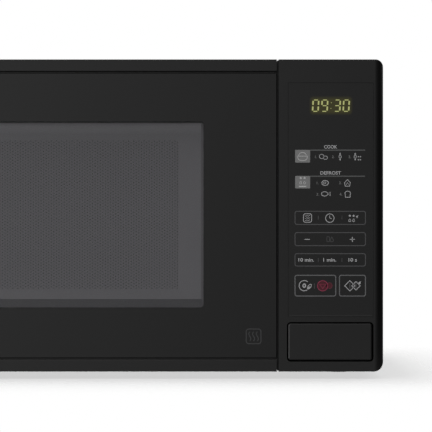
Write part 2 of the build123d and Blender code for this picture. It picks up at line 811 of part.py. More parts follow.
def waveguide():
    x0 = cavity_right + sheet
    x1 = x0 + waveguide_depth
    y0, y1 = magnetron_y - 74, magnetron_y + 40
    z0, z1 = magnetron_z - 34, magnetron_z + 34
    body = block(x0, x1, y0, y1, z0, z1)
    body -= block(x0 - 1, x1 - sheet, y0 + sheet, y1 - sheet, z0 + sheet, z1 - sheet)
    body += block(x0, x0 + sheet, y0 - 8, y0 + 0.5, z0, z1) + block(x0, x0 + sheet, y1 - 0.5, y1 + 8, z0, z1)
    return body - rod(11.0, (x1 - 3, magnetron_y, magnetron_z), (1, 0, 0), 6)


def mica_cover():
    y0, y1 = port_span()
    return block(cavity_right - 0.6, cavity_right, y0 - 6, y1 + 6, magnetron_z - 34, magnetron_z + 34)


def magnetron_start():
    return cavity_right + sheet + waveguide_depth


def magnetron_frame():
    """The open steel yoke round the magnets and fins."""
    x0 = magnetron_start()
    y0, y1 = magnetron_y - magnetron_half, magnetron_y + magnetron_half
    z0, z1 = magnetron_z - 36, magnetron_z + 36
    body = block(x0, x0 + 58, y0, y1, z0, z1)
    body -= block(x0 + 1.5, x0 + 56.5, y0 - 1, y1 + 1, z0 + 1.5, z1 - 1.5)
    body -= rod(11.0, (x0 - 1, magnetron_y, magnetron_z), (1, 0, 0), 4)
    return body - rod(9.0, (x0 + 55, magnetron_y, magnetron_z), (1, 0, 0), 5)


def magnetron_antenna():
    x0 = magnetron_start()
    dome = rod(7.5, (x0 - 22, magnetron_y, magnetron_z), (1, 0, 0), 23)
    return dome + rod(10.5, (x0 - 0.5, magnetron_y, magnetron_z), (1, 0, 0), 2.0)


def magnetron_magnets():
    x0 = magnetron_start()
    places = (x0 + 1.5, x0 + 44.5)
    group = [ring(27.0, 12.0, (x, magnetron_y, magnetron_z), (1, 0, 0), 12) for x in places]
    return Compound(children=group)


def magnetron_fins():
    """The anode block and its stack of cooling fins."""
    x0 = magnetron_start() + 13.7
    body = rod(18.0, (x0, magnetron_y, magnetron_z), (1, 0, 0), 30.6)
    for step in range(6):
        x = x0 + 2.5 + step * 5
        body += block(x, x + 0.6, magnetron_y - 40, magnetron_y + 40, magnetron_z - 34.5, magnetron_z + 34.5)
    return body


def magnetron_filter():
    x0 = magnetron_start() + 58
    x1 = x0 + 20
    body = block(x0, x1, magnetron_y - 28, magnetron_y + 28, magnetron_z - 26, magnetron_z + 26)
    body -= block(x0 + 0.8, x1 - 0.8, magnetron_y - 27.2, magnetron_y + 27.2,
                  magnetron_z - 25.2, magnetron_z + 25.2)
    return body + block(x0 + 4, x0 + 16, magnetron_y + 27.5, magnetron_y + 38, magnetron_z - 10, magnetron_z + 10)


def transformer_core():
    """A laminated E and I core with its weld plate; the winding window goes right through."""
    x, y, z = transformer_x, transformer_y, plate_bottom
    core = block(x - 41, x + 41, y - 22, y + 22, z, z + 68)
    for side in (-1, 1):
        x0, x1 = sorted((x + side * 13.5, x + side * 27.5))
        core -= block(x0, x1, y - 23, y + 23, z + 14, z + 54)
    return core + block(x - 46, x + 46, y - 26, y + 26, z, z + 1.5)


def transformer_windings():
    """Two wound coils round the middle limb."""
    x, y, z = transformer_x, transformer_y, plate_bottom
    group = []
    for z0, z1 in ((z + 14.5, z + 32), (z + 34, z + 53.5)):
        coil_block = block(x - 26.5, x + 26.5, y - 36, y + 36, z0, z1)
        coil_block = fillet(coil_block.edges().filter_by(Axis.Z), 8.0)
        group.append(coil_block - block(x - 13.9, x + 13.9, y - 22.4, y + 22.4, z0 - 1, z1 + 1))
    return Compound(children=group)


def capacitor():
    x, y, z = transformer_x, capacitor_y, plate_bottom + 2
    can = extrude(Pos(x, y, z) * SlotOverall(54, 34), amount=86)
    for side in (-1, 1):
        can += block(x + side * 10 - 3, x + side * 10 + 3, y - 0.4, y + 0.4, z + 85.5, z + 97)
    return can


def capacitor_bracket():
    x, y, z = transformer_x, capacitor_y, plate_bottom
    band = Pos(x, y, z + 30) * (SlotOverall(54 + 2.5, 34 + 2.5) - SlotOverall(54 + 0.1, 34 + 0.1))
    strap = extrude(band, amount=16)
    strap += block(x - 10, x + 10, y + 17.0, y + 18.2, z, z + 46)
    return strap + block(x - 10, x + 10, y + 17.0, y + 32, z, z + 1.2)


def hv_diode():
    x, y, z = transformer_x, capacitor_y - 26, plate_bottom + 60
    body = rod(3.5, (x - 10, y, z), (1, 0, 0), 20)
    body += rod(0.6, (x - 26, y, z), (1, 0, 0), 52)
    return body


# Cooling, light and safety parts


def fan_shroud():
    """A square plastic duct with three arms that carry the motor in front of the blade."""
    half = fan_radius + 6
    y0 = fan_body
    body = block(fan_x - half, fan_x + half - 2, y0, back_front, fan_z - half, fan_z + half)
    body -= rod(fan_radius + 2, (fan_x, y0 - 1, fan_z), (0, 1, 0), 40)
    for step in range(3):
        arm = block(14, fan_radius + 5, y0, y0 + 4, -3, 3)
        body += Pos(fan_x, 0, fan_z) * (Rot(0, 90 + step * 120, 0) * arm)
    return body + ring(18, 7.0, (fan_x, y0, fan_z), (0, 1, 0), 4)


def fan_motor():
    """A shaded-pole motor: a laminated stack with a coil on one leg."""
    y1 = fan_body
    body = block(fan_x - 24, fan_x + 24, y1 - 18, y1, fan_z - 22, fan_z + 30)
    body -= block(fan_x - 14, fan_x + 14, y1 - 19, y1 + 1, fan_z + 14, fan_z + 22)
    body += block(fan_x - 13, fan_x + 13, y1 - 26, y1 - 18, fan_z - 5, fan_z + 5)
    return body - rod(2.0 + running, (fan_x, y1 - 24, fan_z), (0, 1, 0), 26)


def fan_blade():
    """Five pitched blades on a hub, with the motor's shaft."""
    y0 = fan_body + 7
    body = rod(10.0, (fan_x, y0, fan_z), (0, 1, 0), fan_depth)
    for step in range(5):
        blade = Pos((fan_radius + 8) / 2, 0, 0) * (Rot(38, 0, 0) * Box(fan_radius - 9, 1.4, 16))
        body += Pos(fan_x, y0 + 7, fan_z) * (Rot(0, step * 72, 0) * blade)
    return body + rod(2.0, (fan_x, fan_body - 22, fan_z), (0, 1, 0), 34)


def cavity_lamp():
    x, y, z = cavity_right + sheet + 6, cavity_back - 60, cavity_top - 30
    bulb = rod(9.0, (x, y, z), (1, 0, 0), 20)
    bulb = fillet(bulb.faces().sort_by(Axis.X)[0].edges(), 8.0)
    return bulb + rod(6.5, (x + 19.5, y, z), (1, 0, 0), 12)


def lamp_socket():
    x, y, z = cavity_right + sheet, cavity_back - 60, cavity_top - 30
    body = ring(11, 6.8, (x + 27, y, z), (1, 0, 0), 10)
    body += block(x, x + 37, y + 11.5, y + 13, z - 8, z + 8)
    return body + block(x + 30, x + 36, y + 8, y + 12, z - 6, z + 6)


def thermal_cutouts():
    places = ((cavity_right + sheet, cavity_back - 100, cavity_floor + 90),
              (cavity_right + sheet, cavity_back - 25, cavity_top - 70))
    group = [rod(8.0, place, (1, 0, 0), 9) + rod(4.0, place, (1, 0, 0), 13) for place in places]
    return Compound(children=group)


def line_filter():
    x1 = plate_right - 4
    y1 = back_front - 8
    body = block(x1 - 60, x1, y1 - 50, y1, plate_bottom + 36.4, plate_bottom + 38)
    body += block(x1 - 55, x1 - 30, y1 - 40, y1 - 15, plate_bottom + 38, plate_bottom + 56)
    for x, y in ((x1 - 57, y1 - 47), (x1 - 3, y1 - 47)):
        body += rod(2.5, (x, y, plate_bottom), (0, 0, 1), 36.5)
    return body


def air_duct():
    """A three-sided plastic channel that leads the magnetron's air to the cavity wall."""
    x0, x1 = cavity_right + sheet, cavity_right + sheet + 34
    y0, y1 = cavity_back - 92, cavity_back - 32
    z0, z1 = cavity_floor + 24, cavity_floor + 96
    body = block(x0, x1, y0, y1, z0, z1)
    body -= block(x0 - 1, x1 - 1.6, y0 + 1.6, y1 - 1.6, z0 + 1.6, z1 + 1)
    return body


low_leaf, high_leaf = leaf_levels()
save("front_plate", front_plate())
save("cavity", cavity())
save("base_plate", base_plate())
save("back_panel", back_panel())
save("outer_cover", outer_cover())
save("feet", feet())
save("cover_screws", cover_screws())
save("cord_bushing", cord_bushing())
save("lower_hinge", hinge(low_leaf, 1))
save("upper_hinge", hinge(high_leaf, -1))
save("hinge_screws", hinge_screws())
save("door_frame", door_frame())
save("door_glass", door_glass())
save("door_plate", door_plate())
save("door_screws", door_screws())
save("window_film", window_film())
save("choke_cover", choke_cover())
save("door_latch", door_latch())
save("latch_spring", latch_spring())
save("release_button", release_button())
save("button_spring", button_spring())
save("release_lever", release_lever())
save("latch_board", latch_board())
save("door_switches", door_switches())
save("switch_plungers", switch_plungers())
save("control_panel_frame", control_panel_frame())
save("keypad_membrane", keypad_membrane())
save("display_module", display_module())
save("control_board", control_board())
save("board_transformer", board_transformer())
save("board_relays", board_relays())
save("buzzer", buzzer())
save("turntable_motor", turntable_motor())
save("turntable_shaft", turntable_shaft())
save("turntable_coupler", turntable_coupler())
save("glass_tray", glass_tray())
save("roller_ring", roller_ring())
for number, wheel_turn in enumerate(wheel_turns(), start=1):
    save(f"roller_wheel_{number}", roller_wheel(wheel_turn))
save("waveguide", waveguide())
save("mica_cover", mica_cover())
save("magnetron_frame", magnetron_frame())
save("magnetron_antenna", magnetron_antenna())
save("magnetron_magnets", magnetron_magnets())
save("magnetron_fins", magnetron_fins())
save("magnetron_filter", magnetron_filter())
save("transformer_core", transformer_core())
save("transformer_windings", transformer_windings())
save("capacitor", capacitor())
save("capacitor_bracket", capacitor_bracket())
save("hv_diode", hv_diode())
save("fan_shroud", fan_shroud())
save("fan_motor", fan_motor())
save("fan_blade", fan_blade())
save("cavity_lamp", cavity_lamp())
save("lamp_socket", lamp_socket())
save("thermal_cutouts", thermal_cutouts())
save("line_filter", line_filter())
save("air_duct", air_duct())
print("lever turns", round(lever_angle * 180 / pi, 3), "degrees")
print("wheel turns", round(track_radius / wheel_radius / 2, 4), "per turntable turn")
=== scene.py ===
import math

import bmesh
import bpy
import numpy as np
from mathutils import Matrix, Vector


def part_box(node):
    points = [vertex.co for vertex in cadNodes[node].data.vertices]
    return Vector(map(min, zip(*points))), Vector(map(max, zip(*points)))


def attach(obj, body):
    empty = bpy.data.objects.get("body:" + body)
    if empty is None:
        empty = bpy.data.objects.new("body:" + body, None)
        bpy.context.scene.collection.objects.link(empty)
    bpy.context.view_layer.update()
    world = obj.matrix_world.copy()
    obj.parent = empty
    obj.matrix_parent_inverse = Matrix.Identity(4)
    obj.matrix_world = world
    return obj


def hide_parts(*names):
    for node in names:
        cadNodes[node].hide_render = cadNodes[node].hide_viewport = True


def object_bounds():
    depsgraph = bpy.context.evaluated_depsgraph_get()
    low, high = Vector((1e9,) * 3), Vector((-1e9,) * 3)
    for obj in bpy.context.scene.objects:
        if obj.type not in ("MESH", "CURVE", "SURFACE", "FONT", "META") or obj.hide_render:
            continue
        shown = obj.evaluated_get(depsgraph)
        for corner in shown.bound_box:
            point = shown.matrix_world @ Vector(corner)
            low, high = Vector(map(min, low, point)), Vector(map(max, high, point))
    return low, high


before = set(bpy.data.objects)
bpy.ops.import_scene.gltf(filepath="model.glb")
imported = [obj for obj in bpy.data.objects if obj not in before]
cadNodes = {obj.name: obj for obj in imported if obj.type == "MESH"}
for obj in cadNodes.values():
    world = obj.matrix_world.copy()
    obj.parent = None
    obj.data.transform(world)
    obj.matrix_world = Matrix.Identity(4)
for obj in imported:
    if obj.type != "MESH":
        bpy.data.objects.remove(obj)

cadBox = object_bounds()
mm = 0.001


# camera, light and floor

cameraValues = {
    "aim": (0.0932, 0.0, 0.1306),       # the level line of sight, in metres
    "away": 1.778,                      # from the door's face
    "lens": 185.0,                      # on a 36 mm sensor
}

lightValues = {
    # name: place, aimed at, size, watts
    "overhead": ((-0.15, -0.20, 1.80), (0.0, -0.1, 0.10), 1.40, 8.0),
    "keyLeft": ((-1.90, -2.00, 0.30), (0.0, -0.1, 0.13), 1.10, 14.0),
    "right": ((1.70, 1.10, 1.10), (0.1, 0.0, 0.10), 1.00, 8.0),
    "rear": ((-0.4, 2.00, 1.20), (0.0, 0.1, 0.10), 1.20, 16.0),
}

floorValues = {
    "radius": 3.0,
    "solid": 0.02,                      # full strength this far from the oven, then it fades into the white
    "gone": 0.17,
    "colour": (0.90, 0.90, 0.90, 1.0),
    "most": 0.40,
}


def makeCamera(values):
    data = bpy.data.cameras.new("camera")
    data.lens = values["lens"]
    camera = bpy.data.objects.new("camera", data)
    aim = Vector(values["aim"])
    camera.location = (aim.x, cadBox[0].y - values["away"], aim.z)
    camera.rotation_euler = (math.pi / 2, 0, 0)
    bpy.context.scene.collection.objects.link(camera)
    bpy.context.scene.camera = camera


def makeLights(values):
    for name, (place, aim, size, watts) in values.items():
        data = bpy.data.lights.new(name, "AREA")
        data.size = size
        data.energy = watts
        light = bpy.data.objects.new(name, data)
        light.location = place
        light.rotation_euler = (Vector(aim) - Vector(place)).to_track_quat("-Z", "Y").to_euler()
        bpy.context.scene.collection.objects.link(light)


class Signal:
    # one shader output; arithmetic on it adds Math nodes
    def __init__(self, finish, socket):
        self.finish = finish
        self.socket = socket

    def calc(self, operation, *others):
        return self.finish.add("ShaderNodeMath", {"operation": operation}, (self,) + others)

    def __add__(self, other):
        return self.calc("ADD", other)

    def __mul__(self, other):
        return self.calc("MULTIPLY", other)

    def __sub__(self, other):
        return self.calc("SUBTRACT", other)

    def __rsub__(self, other):
        return self.finish.add("ShaderNodeMath", {"operation": "SUBTRACT"}, (other, self))

    def __truediv__(self, other):
        return self.calc("DIVIDE", other)

    def __abs__(self):
        return self.calc("ABSOLUTE")

    def __gt__(self, other):
        return self.calc("GREATER_THAN", other)

    def atLeast(self, other):
        return self.calc("MAXIMUM", other)

    def clip(self):
        return self.finish.add("ShaderNodeClamp", {}, (self,))


class Finish:
    # a node tree with one way to add a node; trees of materials and of the world both fit
    def __init__(self, tree):
        self.tree = tree

    def add(self, kind, settings=None, inputs=(), output=0):
        node = self.tree.nodes.new(kind)
        for key, value in (settings or {}).items():
            setattr(node, key, value)
        pairs = inputs.items() if isinstance(inputs, dict) else enumerate(inputs)
        for key, value in pairs:
            if isinstance(value, Signal):
                self.tree.links.new(value.socket, node.inputs[key])
            else:
                node.inputs[key].default_value = value
        return Signal(self, node.outputs[output]) if node.outputs else node

    def place(self):
        return self.add("ShaderNodeTexCoord", output="Object")

    def axes(self):
        node = self.add("ShaderNodeSeparateXYZ", {}, (self.place(),)).socket.node
        return [Signal(self, out) for out in node.outputs]

    def stretched(self, scale):
        return self.add("ShaderNodeMapping", {}, {"Vector": self.place(), "Scale": scale})

    def noise(self, scale, detail=2.0, roughness=0.5, stretch=None):
        where = self.stretched(stretch) if stretch else self.place()
        values = {"Vector": where, "Scale": scale, "Detail": detail, "Roughness": roughness}
        return self.add("ShaderNodeTexNoise", {}, values)

    def cells(self, scale, output="Distance"):
        return self.add("ShaderNodeTexVoronoi", {}, {"Vector": self.place(), "Scale": scale}, output)

    def mix(self, factor, first, second):
        # colours through a Mix node; 6 and 7 are its colour inputs and 2 its colour result
        return self.add("ShaderNodeMix", {"data_type": "RGBA"}, {0: factor, 6: first, 7: second}, 2)

    def bump(self, height, depth, strength=1.0):
        values = {"Height": height, "Distance": depth, "Strength": strength}
        return self.add("ShaderNodeBump", {}, values)


finishes = {}


def grey(value):
    return (value, value, value, 1.0)


def scaled(tone, share):
    # a colour times a share, its alpha kept at 1
    return [channel * share for channel in tone[:3]] + [1.0]


def newFinish(name, **sockets):
    # a Principled material; sockets are named with underscores for spaces
    material = bpy.data.materials.new(name)
    material.use_nodes = True
    material.node_tree.nodes.clear()
    finish = Finish(material.node_tree)
    shader = finish.add("ShaderNodeBsdfPrincipled")
    finish.add("ShaderNodeOutputMaterial", {}, {"Surface": shader})
    finish.shader = shader.socket.node
    finish.material = material
    finishes[name] = finish
    shade(finish, **sockets)
    return finish


def shade(finish, **sockets):
    for key, value in sockets.items():
        socket = finish.shader.inputs[key.replace("_", " ")]
        if isinstance(value, Signal):
            finish.tree.links.new(value.socket, socket)
        else:
            socket.default_value = value


def insideRectangle(finish, low, high, corner, soft):
    # 1 inside a rounded rectangle in X and Z, falling to 0 over the soft width at its edge:
    # the distance to the inner rectangle, less the corner radius, is the distance to the edge
    x, _, z = finish.axes()
    halfX = (high[0] - low[0]) / 2 - corner
    halfZ = (high[1] - low[1]) / 2 - corner
    outX = (abs(x - (low[0] + high[0]) / 2) - halfX).atLeast(0.0)
    outZ = (abs(z - (low[1] + high[1]) / 2) - halfZ).atLeast(0.0)
    distance = (outX * outX + outZ * outZ).calc("SQRT") - corner
    return (0.5 - distance / soft).clip()


# where the window and the keypad lie

windowValues = {
    "side": 0.0586,                     # from the door's edges
    "above": 0.0497,
    "below": 0.0512,
    "corner": 0.0028,
}

doorLow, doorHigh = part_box("door_frame")
keyLow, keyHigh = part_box("keypad_membrane")
windowLow = (doorLow.x + windowValues["side"], doorLow.z + windowValues["below"])
windowHigh = (doorHigh.x - windowValues["side"], doorHigh.z - windowValues["above"])


mouldingValues = {
    "tone": 0.0045,
    "spread": 0.10,                     # how far the tone wanders to each side
    "roughness": 0.36,
    "grain": 2600.0,
    "depth": 0.000012,
}


def makeMoulding(name, values, tone=None):
    # moulded plastic: faint cloudy tone, spark-eroded grain in the roughness and the normal
    tone = tone or grey(values["tone"])
    finish = newFinish(name)
    cloud = finish.noise(9.0, 3.0)
    grain = finish.noise(values["grain"], 2.0)
    low = scaled(tone, 1 - values["spread"])
    high = scaled(tone, 1 + values["spread"])
    shade(finish, Base_Color=finish.mix(cloud, low, high),
          Roughness=grain * 0.10 + cloud * 0.06 + (values["roughness"] - 0.08),
          Normal=finish.bump(grain, values["depth"]))
    return finish


screenValues = {
    "tone": (0.480, 0.472, 0.500, 1.0),
    "roughness": 0.42,
    "paintedLightTone": (0.78, 0.77, 0.80, 1.0),    # painted light toward the window's top edge, lifting the shade the frame casts there
    "paintedLightBand": 0.010,                     # how far down from that edge the painted light reaches
}


def makeScreenPaint(name, values):
    # sprayed grey paint on the steel screen, faintly cloudy, with painted light making it paler toward the
    # window's top edge
    finish = newFinish(name)
    speck = finish.noise(1500.0, 2.0)
    cloud = finish.noise(12.0, 2.0)
    deep = scaled(values["tone"], 0.93)
    _, _, z = finish.axes()
    # painted light: the screen grows paler toward the window's top edge, where the frame above shades it
    paintedLightBand = (1.0 - (windowHigh[1] - z) / values["paintedLightBand"]).clip()
    base = finish.mix(cloud, deep, values["tone"])
    shade(finish, Base_Color=finish.mix(paintedLightBand, base, values["paintedLightTone"]),
          Roughness=speck * 0.12 + (values["roughness"] - 0.06),
          Normal=finish.bump(speck, 0.00001))
    return finish


sleeveShadeValues = {
    "share": 0.40,                      # of the screen's grey, on the walls of the window opening: the plate's grey, darkened as painted shade
    "depth": 0.0033,                    # behind the door's face, where that grey starts
    "margin": 0.0002,
}


def makeDoorMoulding(name, values, screen):
    # black moulding, with the tapered walls of the window opening in a darkened share of the screen's grey,
    # as painted shade
    finish = makeMoulding(name, values)
    _, y, _ = finish.axes()
    margin = sleeveShadeValues["margin"]
    low = (windowLow[0] - margin, windowLow[1] - margin)
    high = (windowHigh[0] + margin, windowHigh[1] + margin)
    behind = y > (doorLow.y + sleeveShadeValues["depth"])
    opening = insideRectangle(finish, low, high, margin, 0.0001) * behind
    black = Signal(finish, finish.shader.inputs["Base Color"].links[0].from_socket)
    # the opening's walls take the screen's grey darkened to a share of it: painted shade
    shade(finish, Base_Color=finish.mix(opening, black, scaled(screen["tone"], sleeveShadeValues["share"])))
    return finish


glassValues = {
    "border": 0.0045,                   # black print behind the glass
    "tint": (0.020, 0.020, 0.022, 1.0),
    "strength": 0.28,                   # how much of what is behind the clear part is held back
    "roughness": 0.05,
}


def makeDoorGlass(name, values):
    # printed black round the window, tinted inside it, with a faint film of wiping marks
    finish = newFinish(name, IOR=1.5)
    clear = insideRectangle(finish, windowLow, windowHigh, windowValues["corner"], 0.0005)
    film = finish.noise(14.0, 4.0, 0.6, (1.0, 1.0, 0.35))
    smear = finish.noise(260.0, 2.0)
    shade(finish, Base_Color=finish.mix(clear, grey(values["border"]), values["tint"]),
          Roughness=film * 0.05 + smear * 0.02 + (values["roughness"] - 0.03),
          Alpha=1.0 - clear * (1.0 - values["strength"]))
    return finish


filmValues = {
    "tone": 0.0045,
    "roughness": 0.34,
    "glow": (0.026, 0.023, 0.002, 1.0),
    "glowLeft": 0.0180,                 # the lit area, from the film's top left corner
    "glowRight": 0.0502,
    "glowTop": 0.0118,
    "glowBottom": 0.0246,
}


def makeKeypadFilm(name, values):
    # satin polyester film; the display's light spreads in it round the digits
    low = (keyLow.x + values["glowLeft"], keyHigh.z - values["glowBottom"])
    high = (keyLow.x + values["glowRight"], keyHigh.z - values["glowTop"])
    finish = newFinish(name, Emission_Strength=1.0)
    weave = finish.noise(3200.0, 1.0)
    cloud = finish.noise(20.0, 2.0)
    glow = insideRectangle(finish, low, high, 0.002, 0.003)
    shade(finish, Base_Color=finish.mix(cloud, grey(values["tone"] * 0.94), grey(values["tone"] * 1.06)),
          Roughness=weave * 0.10 + (values["roughness"] - 0.05),
          Emission_Color=finish.mix(glow, grey(0.0), values["glow"]),
          Normal=finish.bump(weave, 0.000006))
    return finish


def makePrint(name, tone, light=None):
    # screen-printed ink: slightly uneven cover
    finish = newFinish(name)
    cover = finish.noise(1800.0, 2.0)
    shade(finish, Base_Color=finish.mix(cover, scaled(tone, 0.86), tone), Roughness=cover * 0.1 + 0.42)
    if light:
        shade(finish, Emission_Color=finish.mix(cover, scaled(light, 0.8), light), Emission_Strength=1.0)
    return finish


def makePowderCoat(name, tone, roughness=0.42, depth=0.00003):
    # sprayed and baked paint: orange peel with a fine sparkle in the roughness
    finish = newFinish(name)
    peel = finish.noise(620.0, 3.0, 0.45)
    fine = finish.noise(3000.0, 1.0)
    cloud = finish.noise(5.0, 2.0)
    shade(finish, Base_Color=finish.mix(cloud, scaled(tone, 0.92), tone),
          Roughness=fine * 0.14 + (roughness - 0.07),
          Normal=finish.bump(peel + fine * 0.3, depth))
    return finish


def makeZincSheet(name, tone=(0.60, 0.61, 0.62, 1.0), roughness=0.34):
    # galvanised sheet: spangle cells, rolling lines along X
    finish = newFinish(name, Metallic=1.0)
    spangle = finish.cells(110.0, "Color")
    value = finish.add("ShaderNodeSeparateColor", {}, (spangle,))
    rolling = finish.noise(40.0, 3.0, 0.6, (0.05, 1.0, 30.0))
    shade(finish, Base_Color=finish.mix(value, scaled(tone, 0.82), tone),
          Roughness=value * 0.12 + rolling * 0.10 + (roughness - 0.10),
          Normal=finish.bump(rolling, 0.000008))
    return finish


def makeBareMetal(name, tone, roughness, lines=(1.0, 1.0, 1.0), scale=500.0):
    # uncoated metal with drawing lines; lines stretches them along an axis
    finish = newFinish(name, Metallic=1.0)
    drawn = finish.noise(scale, 3.0, 0.6, lines)
    cloud = finish.noise(30.0, 2.0)
    shade(finish, Base_Color=finish.mix(cloud, scaled(tone, 0.88), tone),
          Roughness=drawn * 0.16 + (roughness - 0.08), Normal=finish.bump(drawn, 0.000006))
    return finish


def makeEnamel(name, tone=(0.60, 0.60, 0.585, 1.0)):
    # light grey cooking-space enamel: gloss with a dark and a light speckle
    finish = newFinish(name, Coat_Roughness=0.12)
    dark = finish.cells(900.0) > 0.62
    fleck = finish.noise(420.0, 1.0) > 0.66
    peel = finish.noise(380.0, 2.0)
    base = finish.mix(dark * 0.22, tone, grey(0.30))
    shade(finish, Base_Color=finish.mix(fleck * 0.25, base, grey(0.85)),
          Roughness=peel * 0.10 + 0.26, Coat_Weight=0.25, Normal=finish.bump(peel, 0.00002))
    return finish


def makeStack(name, tone, pitch, axis, metallic=0.7, roughness=0.45):
    # thin sheets or wound wire: a fine wave along one axis sets tone and relief
    finish = newFinish(name, Metallic=metallic)
    along = finish.axes()[axis]
    wave = (along * (2 * math.pi / pitch)).calc("SINE") * 0.5 + 0.5
    cloud = finish.noise(60.0, 3.0)
    shade(finish, Base_Color=finish.mix(wave * 0.6 + cloud * 0.3, scaled(tone, 0.55), tone),
          Roughness=cloud * 0.15 + (roughness - 0.07), Normal=finish.bump(wave, pitch * 0.25))
    return finish


def makeClear(name, tone, roughness=0.03, wave=0.00001):
    # clear glass; a long soft wave bends what is seen through it
    finish = newFinish(name, Transmission_Weight=1.0, IOR=1.5)
    ripple = finish.noise(60.0, 1.0)
    shade(finish, Base_Color=finish.mix(ripple, scaled(tone, 0.97), tone),
          Roughness=ripple * 0.02 + (roughness - 0.01), Normal=finish.bump(ripple, wave))
    return finish


def makeFilm(name, tone, alpha):
    # clear plastic sheet, lightly scuffed
    finish = newFinish(name)
    scuff = finish.noise(90.0, 4.0, 0.6, (1.0, 1.0, 0.2))
    shade(finish, Base_Color=finish.mix(scuff, scaled(tone, 0.9), tone),
          Roughness=scuff * 0.12 + 0.16, Alpha=scuff * 0.04 + (alpha - 0.02))
    return finish


def makeBoard(name):
    # phenolic circuit board: amber with paler printed tracks on a square grid
    tracksPerMetre = 400.0
    finish = newFinish(name)
    x, _, z = finish.axes()
    gridX = (x * tracksPerMetre).calc("FRACT") > 0.80
    gridZ = (z * tracksPerMetre).calc("FRACT") > 0.80
    chosen = finish.cells(160.0, "Color")
    pick = finish.add("ShaderNodeSeparateColor", {}, (chosen,)) > 0.55
    track = (gridX + gridZ).clip() * pick
    base = finish.mix(finish.noise(30.0, 3.0), (0.36, 0.23, 0.09, 1.0), (0.46, 0.31, 0.13, 1.0))
    shade(finish, Base_Color=finish.mix(track, base, (0.60, 0.45, 0.22, 1.0)),
          Roughness=track * -0.12 + 0.52, Normal=finish.bump(track, 0.00004))
    return finish


def makeMica(name):
    # pressed mica flakes
    finish = newFinish(name)
    flake = finish.cells(240.0)
    cloud = finish.noise(45.0, 4.0)
    base = finish.mix(flake + cloud * 0.4, (0.36, 0.30, 0.22, 1.0), (0.62, 0.55, 0.44, 1.0))
    shade(finish, Base_Color=base, Roughness=flake * 0.2 + 0.30, Normal=finish.bump(flake, 0.00003))
    return finish


print("finishes")
makeMoulding("blackPlastic", mouldingValues)
makeDoorMoulding("doorPlastic", mouldingValues, screenValues)
makeMoulding("greyPlastic", {**mouldingValues, "roughness": 0.45}, (0.30, 0.30, 0.31, 1.0))
makeMoulding("whitePlastic", {**mouldingValues, "roughness": 0.42, "spread": 0.04},
             (0.70, 0.69, 0.65, 1.0))
makeMoulding("footRubber", {**mouldingValues, "roughness": 0.70, "depth": 0.00004},
             (0.022, 0.022, 0.023, 1.0))
makeMoulding("darkResin", {**mouldingValues, "roughness": 0.50}, (0.018, 0.018, 0.020, 1.0))
makeScreenPaint("screenPaint", screenValues)
makeDoorGlass("doorGlass", glassValues)
makePowderCoat("coverPaint", (0.018, 0.018, 0.0185, 1.0))
makeZincSheet("zincSheet")
makeEnamel("enamel")
makeBareMetal("springWire", (0.62, 0.62, 0.63, 1.0), roughness=0.26, lines=(1.0, 1.0, 12.0))
makeBareMetal("screwSteel", (0.66, 0.65, 0.60, 1.0), roughness=0.30)
makeBareMetal("aluminium", (0.78, 0.78, 0.79, 1.0), roughness=0.30, lines=(1.0, 20.0, 1.0), scale=200.0)
makeStack("laminations", (0.22, 0.22, 0.23, 1.0), pitch=0.0007, axis=1)
makeStack("copperWire", (0.74, 0.36, 0.17, 1.0), pitch=0.0009, axis=2, metallic=0.9, roughness=0.34)
makeStack("ferrite", (0.060, 0.060, 0.063, 1.0), pitch=0.004, axis=0, metallic=0.0, roughness=0.62)
makeClear("trayGlass", (0.93, 0.97, 0.95, 1.0))
makeClear("bulbGlass", (0.97, 0.97, 0.95, 1.0), roughness=0.05)
makeFilm("clearFilm", (0.55, 0.55, 0.56, 1.0), alpha=0.14)
makeBoard("circuitBoard")
makeMica("micaSheet")


def joinParts(parts):
    # several (points, faces) pairs as one
    points, faces, count = [], [], 0
    for partPoints, partFaces in parts:
        points.append(partPoints)
        faces += [[index + count for index in face] for face in partFaces]
        count += len(partPoints)
    return np.concatenate(points), faces


def makePiece(name, parts, body, finish, smooth=False):
    points, faces = joinParts(parts)
    mesh = bpy.data.meshes.new(name)
    mesh.from_pydata(points.tolist(), [], faces)
    mesh.update()
    if smooth:
        mesh.polygons.foreach_set("use_smooth", [True] * len(mesh.polygons))
    mesh.materials.append(finishes[finish].material)
    piece = bpy.data.objects.new(name, mesh)
    bpy.context.scene.collection.objects.link(piece)
    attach(piece, body)
    return piece


def wrapFaces(rows, columns, closeRows, closeColumns):
    # the quads of a grid of points, row by row, with either direction joined end to end
    lastRow, lastColumn = rows - (not closeRows), columns - (not closeColumns)
    r, c = np.meshgrid(np.arange(lastRow), np.arange(lastColumn), indexing="ij")
    here, above = r * columns, (r + 1) % rows * columns
    nextC = (c + 1) % columns
    quads = np.stack([here + c, here + nextC, above + nextC, above + c], -1)
    return quads.reshape(-1, 4)


def roundedLoop(low, high, radius, steps=8):
    # a rounded rectangle as one loop: each corner's centre plus the radius turned through 90 degrees
    quarter = np.linspace(0.0, math.pi / 2, steps)
    turn = np.concatenate([quarter + k * math.pi / 2 for k in range(4)])
    cornerX = np.repeat([high[0] - radius, low[0] + radius, low[0] + radius, high[0] - radius], steps)
    cornerZ = np.repeat([high[1] - radius, high[1] - radius, low[1] + radius, low[1] + radius], steps)
    return np.stack([cornerX + radius * np.cos(turn), cornerZ + radius * np.sin(turn)], -1)


def ellipseLoop(centre, radiusX, radiusY, steps=28, start=0.0, sweep=2 * math.pi):
    # the centre plus the two radii times the cosine and the sine of the turn
    turn = start + np.arange(steps) / steps * sweep
    return np.stack([centre[0] + radiusX * np.cos(turn), centre[1] + radiusY * np.sin(turn)], -1)


